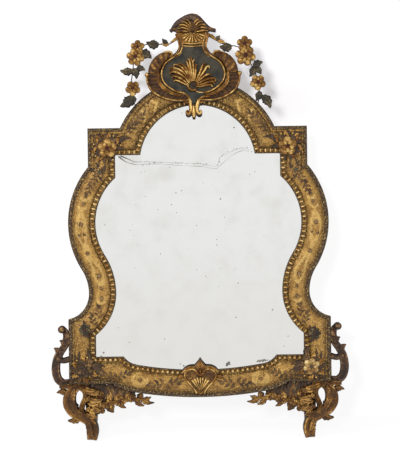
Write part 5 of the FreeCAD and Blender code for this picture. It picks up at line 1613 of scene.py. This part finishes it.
@dataclass
class CornerSprays:
    """Rosettes, leaf sprays and small second flowers on the four corner blocks."""

    shop: Workshop
    seat: float = 24.2
    sunk: float = 21.2
    upper: Spot = (152.25, 494.35)
    lower: Spot = (192.8, 122.0)
    upper_radius: float = 16.5
    lower_radius: float = 14.0
    upper_bud: Spot = (166.2, 454.5)
    lower_bud: Spot = (194.5, 188.0)
    lower_shift: tuple[float, float] = (-5.0, 2.0)
    bud_drop: tuple[float, float] = (10.5, 0.0)

    UPPER_LEAVES = [
        (40, 27, 12), (92, 21, 10), (-8, 20, 11), (158, 36, 13), (-62, 22, 11), (66, 22, 9), (14, 21, 9), (128, 22, 9),
        (-34, 20, 9), (185, 21, 9), (-80, 18, 9), (110, 19, 8), (140, 18, 8), (-98, 15, 7),
    ]
    LOWER_LEAVES = [
        (-45, 25, 12), (12, 20, 11), (98, 27, 11), (192, 28, 12), (-98, 21, 11), (140, 15, 9), (-150, 23, 9),
        (55, 23, 9), (-20, 21, 8), (174, 27, 10), (120, 14, 8), (75, 24, 9), (-70, 21, 9), (205, 25, 9),
    ]
    UPPER_GLINTS = (-70, -45, -20, 5, 30, 55, 80, 105, 130, 155)
    LOWER_GLINTS = (-170, -140, -110, -80, -50, -25, 5, 35, 65, 90)
    UPPER_SPRIGS = (70, 130, -60, -110, 10)
    LOWER_SPRIGS = (80, 120, -80, -120, 180)

    def spray(
        self, middle: Spot, radius: float, table: Sequence[tuple[float, float, float]], petals: int
    ) -> tuple[Sheet, Sheet]:
        """A rosette and the leaves that spread from under it.

        Args:
            middle: the rosette's middle.
            radius: its size.
            table: angle, length and width of each leaf.
            petals: number of petals.

        Returns:
            The rosette and the leaves.
        """
        blades = []
        for i, (angle, long, wide) in enumerate(table):
            root = polar(middle, 0.55 * radius, math.radians(angle))
            blades.append(leaf_blade(*root, self.seat - 1, angle, long, wide, curl=0.6, bend=0.14 * (-1) ** i,
                                     back=self.sunk))
        return bloom(*middle, self.seat, radius, petals, 20, 0.5 * radius), gathered(blades)

    def glints(self, middle: Spot, radius: float, angles: Sequence[float]) -> Sheet:
        """Small bright leaf tips and berries in two rings round a rosette.

        Args:
            middle: the rosette's middle.
            radius: its size.
            angles: where they lie, in degrees.

        Returns:
            All of them as one surface.
        """
        berry_lead = 0.22
        sheets = []
        for i, angle in enumerate(angles):
            a = math.radians(angle)
            leaf = polar(middle, radius * (1.02 + 0.14 * (i % 3)), a)
            berry = polar(middle, radius * (1.3 + 0.13 * (i % 2)), a + berry_lead)
            sheets.append(leaf_blade(*leaf, self.seat + 0.2, angle + 40 * (-1) ** i, 9.5, 4.8, curl=0.6, height=2.2,
                                     back=self.sunk))
            sheets.append(boss(*berry, self.seat - 0.4, 2, 2.6, self.sunk))
        return gathered(sheets)

    def sprigs(self, middle: Spot, angles: Sequence[float]) -> Sheet:
        """The leaves round a small flower, at these angles."""
        table = [(*middle, angle, 17, 9) for angle in angles]
        return gathered(leaves(table, self.seat - 1.2, curl=0.4, back=self.seat - 3.5))

    def build(self) -> None:
        """Makes rosettes, sprays and small flowers on both sides."""
        upper_tips = self.glints(self.upper, self.upper_radius, self.UPPER_GLINTS)
        upper, upper_leaves = self.spray(self.upper, self.upper_radius, self.UPPER_LEAVES, 5)
        upper_bud = bloom(*self.upper_bud, self.seat - 0.5, 9.5, 5, 30, 4.5, 0.36)
        lower_bud = bloom(*self.lower_bud, self.seat - 0.5, 10, 6, 0, 4.5, 0.3)
        upper_sprigs = self.sprigs(self.upper_bud, self.UPPER_SPRIGS)
        lower_sprigs = self.sprigs(self.lower_bud, self.LOWER_SPRIGS)
        for side, shift, drop in zip(("right", "left"), self.lower_shift, self.bud_drop):
            turn, flower = (Sheet.copied, PALE_FLOWER) if side == "right" else (Sheet.mirrored, EDGE_BROWN)
            spot = (self.lower[0] + shift, self.lower[1])
            lower, lower_leaves = self.spray(spot, self.lower_radius, self.LOWER_LEAVES, 6)
            lower_tips = self.glints(spot, self.lower_radius, self.LOWER_GLINTS)
            low_bud, low_sprigs = turn(lower_bud), turn(lower_sprigs)
            for sunk in (low_bud, low_sprigs):
                sunk.points[:, 1] -= drop
            for name, sheet, finish, node in (
                ("_upper_rosette_bloom", turn(upper), FLOWER_GILT, "_upper_rosette"),
                ("_upper_spray", turn(upper_leaves), EDGE_BROWN, ""),
                ("_lower_rosette_bloom", turn(lower), flower, "_lower_rosette"),
                ("_lower_spray", turn(lower_leaves), EDGE_BROWN, ""),
                ("_corner_tips", turn(gathered([upper_tips, lower_tips])), GILT_CARVING, ""),
                ("_upper_small_bloom", turn(upper_bud), SMALL_FLOWER, "_small_flowers"),
                ("_lower_small_bloom", low_bud, LEAF_PAINT, ""),
                ("_small_sprigs", gathered([turn(upper_sprigs), low_sprigs]), EDGE_BROWN, ""),
            ):
                self.shop.piece(side + name, sheet, finish, [side + node] if node else [])


@dataclass
class HeartCartouche:
    """The heart-shaped shell on the middle of the bottom rail."""

    shop: Workshop
    seat: float = 24.2

    EDGE = [(0.6, 78), (7.5, 79.5), (17, 91), (26.5, 104), (30.5, 112.5), (26.5, 118), (19, 122), (11.5, 124),
            (6.5, 128.5), (0.4, 136)]

    def plate(self) -> Sheet:
        """The right half of the backing: from the middle line out to the edge, swelling by a sine.

        Returns:
            The half, as a closed slab.
        """
        rows, cols = 60, 9
        edge = smooth_path(self.EDGE, rows)[:, None, :]
        t = np.linspace(0, 1, cols)[None, :, None]
        spine = edge * np.array([0, 1])
        flat = spine + (edge - spine) * (1 - t)
        depth = self.seat + 0.8 + 1.6 * np.sin(np.pi * t) * np.ones((rows, 1, 1))
        return slab(np.concatenate([flat, depth], axis=2), np.full((rows, cols), 0.75), self.seat - 5)

    def build(self) -> None:
        """Makes the backing, scrolled rim, inner shell and crown leaf."""
        s = self.seat + 1.0
        half = [
            self.plate(),
            carried([(31.5, 113), (26, 118), (19, 121.5), (10, 123.5)], [1, 2.6, 2.8, 1.8], s - 1, 3.2,
                    Section.BLADE, 40, 11, back=s - 7),
            carried([(25, 113.5), (20, 118.5), (13, 120), (8, 117.5), (4.5, 112.5), (0.3, 109)],
                    [1, 1.9, 2.2, 2.2, 2.2, 2], s + 0.5, 4, Section.ROLL, 44, 11, back=s - 5),
            carried([(6.2, 78.8), (9, 84.5), (15, 92), (22, 100), (26.2, 107.5), (26, 114)],
                    [2.3, 1.6, 1.7, 1.9, 2, 0.9], s, 3.8, Section.ROLL, 56, 11, back=s - 6),
            leaf_blade(28, 108, s - 3, -35, 13, 8, back=s - 8),
        ]
        shell = scallop_shell(0, 83, s + 0.4, 23.5, 46, 134, 7, 5.4)
        # Lightened: the shell's top reads as lit gold, a painted highlight.
        shell.recess[:] -= 0.3
        middle = [
            shell,
            carried([(0, 121), (0, 128.5), (0, 136.5)], [9, 5.6, 0.6], s - 0.5, 3.6, Section.BLADE, 26, 11,
                    flutes=0.3, back=s - 8),
            carried([(0, 111), (0, 115), (0, 119)], [1, 2.4, 1], s + 1.5, 3, steps=20, back=s - 4),
            carried([(-4, 81), (0, 79), (4, 81)], [1.2, 2.2, 1.2], s, 3.6, steps=20, back=s - 8),
        ]
        self.shop.piece("heart_carving", gathered([*both_sides(half), *middle]), GILT_CARVING, ["heart_cartouche"])


@dataclass
class Ears:
    """Pierced brown scrolls on the sides of the lower blocks."""

    shop: Workshop
    edge: float = 222.5
    foot: float = 92.0
    seat: float = 9.0
    back: float = 2.0

    SCROLL = [(13, 100.5), (7, 93), (4.5, 82), (8, 68), (15.5, 57), (21.5, 44), (23.5, 27), (20, 12), (11, 4.5), (1, 5)]
    SCROLL_HALVES = [2.6, 5.4, 6.4, 6.2, 6.6, 6.8, 7, 6.8, 6.4, 6]

    def path(self, points: Sequence[Spot]) -> list[Spot]:
        """Points measured from the block's edge and the ear's foot, set in their place."""
        return [(self.edge + x, self.foot + z) for x, z in points]

    def build(self) -> None:
        """Makes each ear as a hollowed scroll with its volute, strut, bracket and leaf nubs."""
        s = self.seat
        more = {"back": self.back, "across": 11}
        volute, low_nub, high_nub = self.path([(12.5, 96), (8, 69), (18, 56)])
        sheets = [
            boss(*volute, s + 1, 6.4, 5.2, self.back),
            carried(self.path(self.SCROLL), self.SCROLL_HALVES, s, 5.4, Section.HOLLOW, 110, flutes=0.3, pitch=9,
                    slant=0.5, **more),
            carried(self.path([(21, 47), (11, 43), (0.5, 45)]), [5.2, 4.8, 5.2], s, 4.2, steps=24, **more),
            carried(self.path([(0.5, 84), (3, 84), (7, 80)]), [6, 5.4, 3.4], s, 4, steps=20, **more),
            *leaves([(*low_nub, 44, 12, 9), (*high_nub, 44, 12, 9)], s, back=self.back),
        ]
        self.shop.pair("{}_ear_scroll", gathered(sheets), WORN_BROWN, "{}_ear")


@dataclass
class Feet:
    """Pierced scroll feet under the lower blocks."""

    shop: Workshop
    seat: float = 12.0
    back: float = 0.5

    SCROLL = [(185.5, 0.6), (184.5, 11), (185, 22), (191, 33), (204, 40), (216, 48), (222.5, 60), (223, 72), (218, 83),
              (208, 91)]
    SCROLL_HALVES = [8.2, 10.4, 9.8, 8.4, 8, 9.6, 11, 10.6, 8.6, 6]
    LOBES = [
        (196, 82, 174, 25, 12, 0), (193, 72, 188, 25, 12, 0.6), (192, 62, 170, 24, 12, 0.2),
        (194, 54, 192, 24, 11, 0.8), (197, 46, 200, 22, 10, 0.2), (184, 77, 148, 16, 9, 1.6),
        (182, 67, 166, 18, 10, 2), (184, 57, 200, 17, 9, 1.8), (187, 49, 222, 15, 9, 1.4), (195, 66, 120, 13, 8, 2.2),
        (196, 50, 132, 12, 8, 2),
    ]

    def build(self) -> None:
        """Makes each foot as a fluted scroll round a crescent hole, with an inner shell and leaf spurs."""
        s = self.seat
        more = {"back": self.back}
        sheets = [
            carried(self.SCROLL, self.SCROLL_HALVES, s, 7.6, Section.HOLLOW, 96, 15, flutes=0.22, pitch=9, slant=0.7,
                    **more),
            carried([(199, 43), (203, 52), (200, 62), (196, 72), (197, 82), (205, 90)], [4, 4.6, 4.6, 4.4, 4.4, 4.4],
                    s, 5, Section.REED, 44, 13, **more),
            *leaves(self.LOBES, s, curl=2.2, height=3.8, flutes=0, **more),
            carried([(190, 46), (180, 50), (173, 58), (172, 68)], [4.4, 5, 5, 4], s - 2, 5, Section.BLADE, 34,
                    11, teeth=4, notch=0.2, **more),
            carried([(204, 90), (192, 86), (180, 82), (172, 76)], [5, 5.4, 5, 2], s - 1, 4.6, Section.BLADE, 36,
                    11, teeth=4, notch=0.25, **more),
            carried([(240, 91), (225, 91.5), (208, 91.5), (190, 92)], [3, 4.4, 4.4, 3.4], s - 1, 4.4, Section.HOLLOW,
                    40, 11, **more),
            leaf_blade(203, 38, s - 1, -12, 24, 12, curl=2, bend=-0.1, **more),
            leaf_blade(226, 79, s, 6, 19, 11, curl=2, **more),
            leaf_blade(212, 46, s + 3, 58, 26, 13, curl=1, **more),
            *leaves([(190, 31, 250, 22, 12), (221, 74, 110, 18, 10)], s + 4, curl=0.6, **more),
        ]
        self.shop.pair("{}_foot_scroll", gathered(sheets), GILT_DULL, "{}_foot")


@dataclass
class Aprons:
    """Pierced leaf aprons under the bottom rail."""

    shop: Workshop
    seat: float = 6.0
    back: float = 2.0

    STEM = [(186, 58), (172, 59), (156, 61), (138, 64), (118, 67), (102, 67), (90, 66)]
    RISING = [(127, 66, 96, 17, 12), (119, 67, 62, 15, 9), (104, 67, 100, 13, 9), (178, 60, 58, 25, 13)]
    HANGING = [
        (160, 62, 238, 20, 11), (150, 62, 264, 17, 9), (140, 64, 222, 17, 9), (112, 68, 218, 20, 10),
        (103, 68, 196, 25, 9), (98, 68, 168, 14, 8),
    ]
    BLOOMS = [
        (172, 53, 1.5, 11, 10, 6), (173, 73, 2, 8.6, 30, 5), (157, 60, 3, 8.4, 10, 5), (137, 64, 2, 10, 40, 5.4),
        (117, 69, 2, 7, 5, 4.2),
    ]
    FORWARD = [(147, 66, 118, 20, 10), (165, 72, 40, 18, 10), (131, 68, 132, 16, 9)]
    # x, z, angle, length and width of the dark leaves that fill the gaps behind the carving: painted shadow.
    SHADE_LEAVES = [
        (170, 61, 88, 40, 26), (145, 62, 92, 32, 24), (122, 66, 94, 21, 18), (108, 68, 120, 13, 12),
        (158, 64, 90, 38, 22), (133, 66, 92, 28, 20), (181, 66, 92, 38, 18),
    ]

    def build(self) -> None:
        """Makes each apron as a stem with toothed leaves up to the rail and down and flowers on it, with dark leaves
        behind as painted shadow.
        """
        s = self.seat
        more = {"back": self.back}
        carving = [
            carried(self.STEM, [3.4, 4.2, 4.2, 4, 3.4, 2.8, 1.2], s, 5, Section.REED, 64, 11, **more),
            leaf_blade(158, 60, s, 84, 33, 13, **more),
            leaf_blade(150, 62, s, 70, 24, 10, bend=-0.12, **more),
            *leaves(self.RISING, s, **more),
            *leaves(self.HANGING, s, curl=2, **more),
            *[bloom(x, z, s + lift, radius, 5, turn, height) for x, z, lift, radius, turn, height in self.BLOOMS],
            *leaves(self.FORWARD, s + 1, **more),
        ]
        # Dark leaves behind the carving, filling the gaps under the rail: painted shadow.
        self.shop.pair("{}_apron_ground", gathered(leaves(self.SHADE_LEAVES, s - 1.5, curl=0.5, **more)), EDGE_BROWN)
        self.shop.pair("{}_apron_leaves", gathered(carving), GILT_DULL, "{}_apron")


@dataclass
class BackWork:
    """Bare boards, blocks, keys, props and hinges behind the face, all kept as imported."""

    shop: Workshop

    def build(self) -> None:
        """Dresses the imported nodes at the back."""
        sides = ("left_", "right_")
        boards = ["arch_rail", "bottom_rail", "corner_keys", "backboard_upper", "backboard_lower", "rebate_blocks"]
        boards += [side + part for side in sides for part in ("upper_block", "stile", "lower_block")]
        self.shop.dress(BARE_WOOD, *boards)
        self.shop.dress(AGED_WOOD, "left_prop", "right_prop")
        iron = ("hinge_fixed_leaves", "hinge_moving_leaves", "hinge_pins", "hinge_frame_screws", "hinge_prop_screws")
        self.shop.dress(DARK_IRON, *[side + part for side in sides for part in iron])


@dataclass
class Studio:
    """Pale floor and backdrop, soft lamps, white surroundings and the camera."""

    shop: Workshop
    aim: Place = (2.7, 360.4, 12.0)
    distance: float = 2.0
    focal: float = 93.5
    sensor: float = 36.0
    roll: float = -0.75
    wall_behind: float = 0.078
    wall_half: float = 1.6
    wall_top: float = 1.6
    floor_front: float = -1.2
    lamp_target: Place = (0.0, 0.0, 0.36)
    low_tone: Spot = (0.16, 0.9)
    high_tone: Spot = (0.85, 0.25)
    fade: Spot = (0.5, 0.6)

    WHITE = (1.0, 1.0, 1.0, 1.0)
    WARM_WHITE = (1.0, 0.99, 0.98, 1.0)
    LAMPS = (
        ("key_lamp", (-0.42, -2.2, 0.95), 0.28, 26.0, False), ("sheen_lamp", (-1.4, -1.3, 1.6), 0.6, 14.0, True),
        ("fill_lamp", (1.5, -1.5, 0.7), 1.0, 6.0, True),
    )

    def surroundings(self) -> None:
        """White for camera and clear rays, white behind the camera for glossy ones, a softer level for the rest."""
        world = bpy.data.worlds.new("studio_white")
        world.use_nodes = True
        world.node_tree.nodes.clear()
        desk = Desk(world.node_tree)
        seen = self.seen(desk)
        soft = desk.add("ShaderNodeBackground", {"Color": self.WARM_WHITE, "Strength": 0.4})
        way = desk.add("ShaderNodeSeparateXYZ", {0: desk.add("ShaderNodeTexCoord").outputs["Generated"]}).outputs["Y"]
        behind = desk.span(way, -0.93, -0.78, 1.0, 0.35)
        shiny = desk.add("ShaderNodeLightPath").outputs["Is Glossy Ray"]
        level = desk.add("ShaderNodeMix", {0: shiny, 2: 1.0, 3: behind}, data_type="FLOAT").outputs[0]
        white = desk.add("ShaderNodeBackground", {"Color": self.WHITE, "Strength": level})
        both = desk.add("ShaderNodeMixShader", {0: seen, 1: soft.outputs[0], 2: white.outputs[0]})
        desk.add("ShaderNodeOutputWorld", {"Surface": both.outputs[0]})
        bpy.context.scene.world = world

    def seen(self, desk: Desk) -> bpy.types.NodeSocket:
        """Tells the rays that show the backdrop from those that light the object.

        Args:
            desk: the desk of the tree.

        Returns:
            One for camera, glossy and transmission rays, else nought.
        """
        path = desk.add("ShaderNodeLightPath")
        two = desk.sum("MAXIMUM", path.outputs["Is Camera Ray"], path.outputs["Is Glossy Ray"])
        return desk.sum("MAXIMUM", two, path.outputs["Is Transmission Ray"])

    def backdrop(self, name: str, corners: Sequence[Place], one_sided: bool) -> None:
        """A flat white stage surface that keeps shadows: a diffuse shade takes them and a glow lightens what is seen.

        Both go from the low tone to the high tone with the height, by a soft step between the fade's two heights.

        Args:
            name: its name.
            corners: four corners in metres, anticlockwise from the lit side.
            one_sided: whether it is clear from behind and to all but camera rays.
        """
        mesh = bpy.data.meshes.new(name)
        mesh.from_pydata(list(corners), [], [(0, 1, 2, 3)])
        made = bpy.data.objects.new(name, mesh)
        bpy.context.scene.collection.objects.link(made)
        paint, desk = blank_material(name)
        height = desk.add("ShaderNodeSeparateXYZ", {0: desk.object_place()}).outputs["Z"]
        climb = desk.span(height, *self.fade)
        tones = [(shade, shade * 0.985, shade * 1.01) for shade, _ in (self.low_tone, self.high_tone)]
        body = desk.add("ShaderNodeBsdfDiffuse", {"Color": desk.mix(climb, *tones)})
        glow = desk.sum("MULTIPLY", self.seen(desk), desk.span(height, *self.fade, self.low_tone[1], self.high_tone[1]))
        light = desk.add("ShaderNodeEmission", {"Color": self.WHITE, "Strength": glow})
        surface = desk.add("ShaderNodeAddShader", {0: body.outputs[0], 1: light.outputs[0]}).outputs[0]
        if one_sided:
            path = desk.add("ShaderNodeLightPath").outputs["Is Camera Ray"]
            front = desk.sum("SUBTRACT", 1.0, desk.add("ShaderNodeNewGeometry").outputs["Backfacing"])
            clear = desk.add("ShaderNodeBsdfTransparent")
            choice = {0: desk.sum("MULTIPLY", path, front), 1: clear.outputs[0], 2: surface}
            surface = desk.add("ShaderNodeMixShader", choice).outputs[0]
        desk.add("ShaderNodeOutputMaterial", {"Surface": surface})
        mesh.materials.append(paint)

    def lamp(self, name: str, place: Place, size: float, power: float, mirrored: bool) -> None:
        """A square soft lamp turned to the object's middle.

        Args:
            name: its name.
            place: where it is, in metres.
            size: its side.
            power: in watts.
            mirrored: whether it shows in the glass and the gilding.
        """
        light = bpy.data.lights.new(name, "AREA")
        light.size, light.energy = size, power
        made = bpy.data.objects.new(name, light)
        made.location = place
        made.rotation_euler = (Vector(self.lamp_target) - Vector(place)).to_track_quat("-Z", "Y").to_euler()
        made.visible_glossy = mirrored
        bpy.context.scene.collection.objects.link(made)

    def camera(self) -> None:
        """Looks square on to the face, with a small roll."""
        lean = self.shop.lean
        lens = bpy.data.cameras.new("photo_camera")
        lens.sensor_width, lens.lens, lens.sensor_fit = self.sensor, self.focal, "AUTO"
        made = bpy.data.objects.new("photo_camera", lens)
        bpy.context.scene.collection.objects.link(made)
        aim = Vector(lean.world(np.array([self.aim]))[0])
        up, back = Vector((0.0, lean.sine, lean.cosine)), Vector((0.0, -lean.cosine, lean.sine))
        turn = Matrix((up.cross(back), up, back)).transposed().to_4x4()
        turn = turn @ Matrix.Rotation(math.radians(self.roll), 4, "Z")
        made.matrix_world = Matrix.Translation(aim + back * self.distance) @ turn
        bpy.context.scene.camera = made

    def build(self) -> None:
        """Sets the stage."""
        bpy.context.scene.view_settings.view_transform = "Standard"
        self.camera()
        self.surroundings()
        x, y, front, top = self.wall_half, self.wall_behind, self.floor_front, self.wall_top
        self.backdrop("pale_floor", [(-x, front, 0), (x, front, 0), (x, y, 0), (-x, y, 0)], False)
        self.backdrop("pale_wall", [(-x, y, 0), (x, y, 0), (x, y, top), (-x, y, top)], True)
        for lamp in self.LAMPS:
            self.lamp(*lamp)


def main() -> None:
    """Loads the frame, builds the studio and every sub-assembly in order."""
    logging.basicConfig(level=logging.INFO, format="%(name)s: %(message)s")
    for spare in list(bpy.data.objects):
        bpy.data.objects.remove(spare)
    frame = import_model()
    shop = Workshop(frame)
    for part in (Studio, BackWork, FrameSkin, Beading, MirrorGlass, Cresting, Garlands, CornerSprays, HeartCartouche,
                 Ears, Feet, Aprons):
        part(shop).build()


if __name__ == "__main__":
    main()
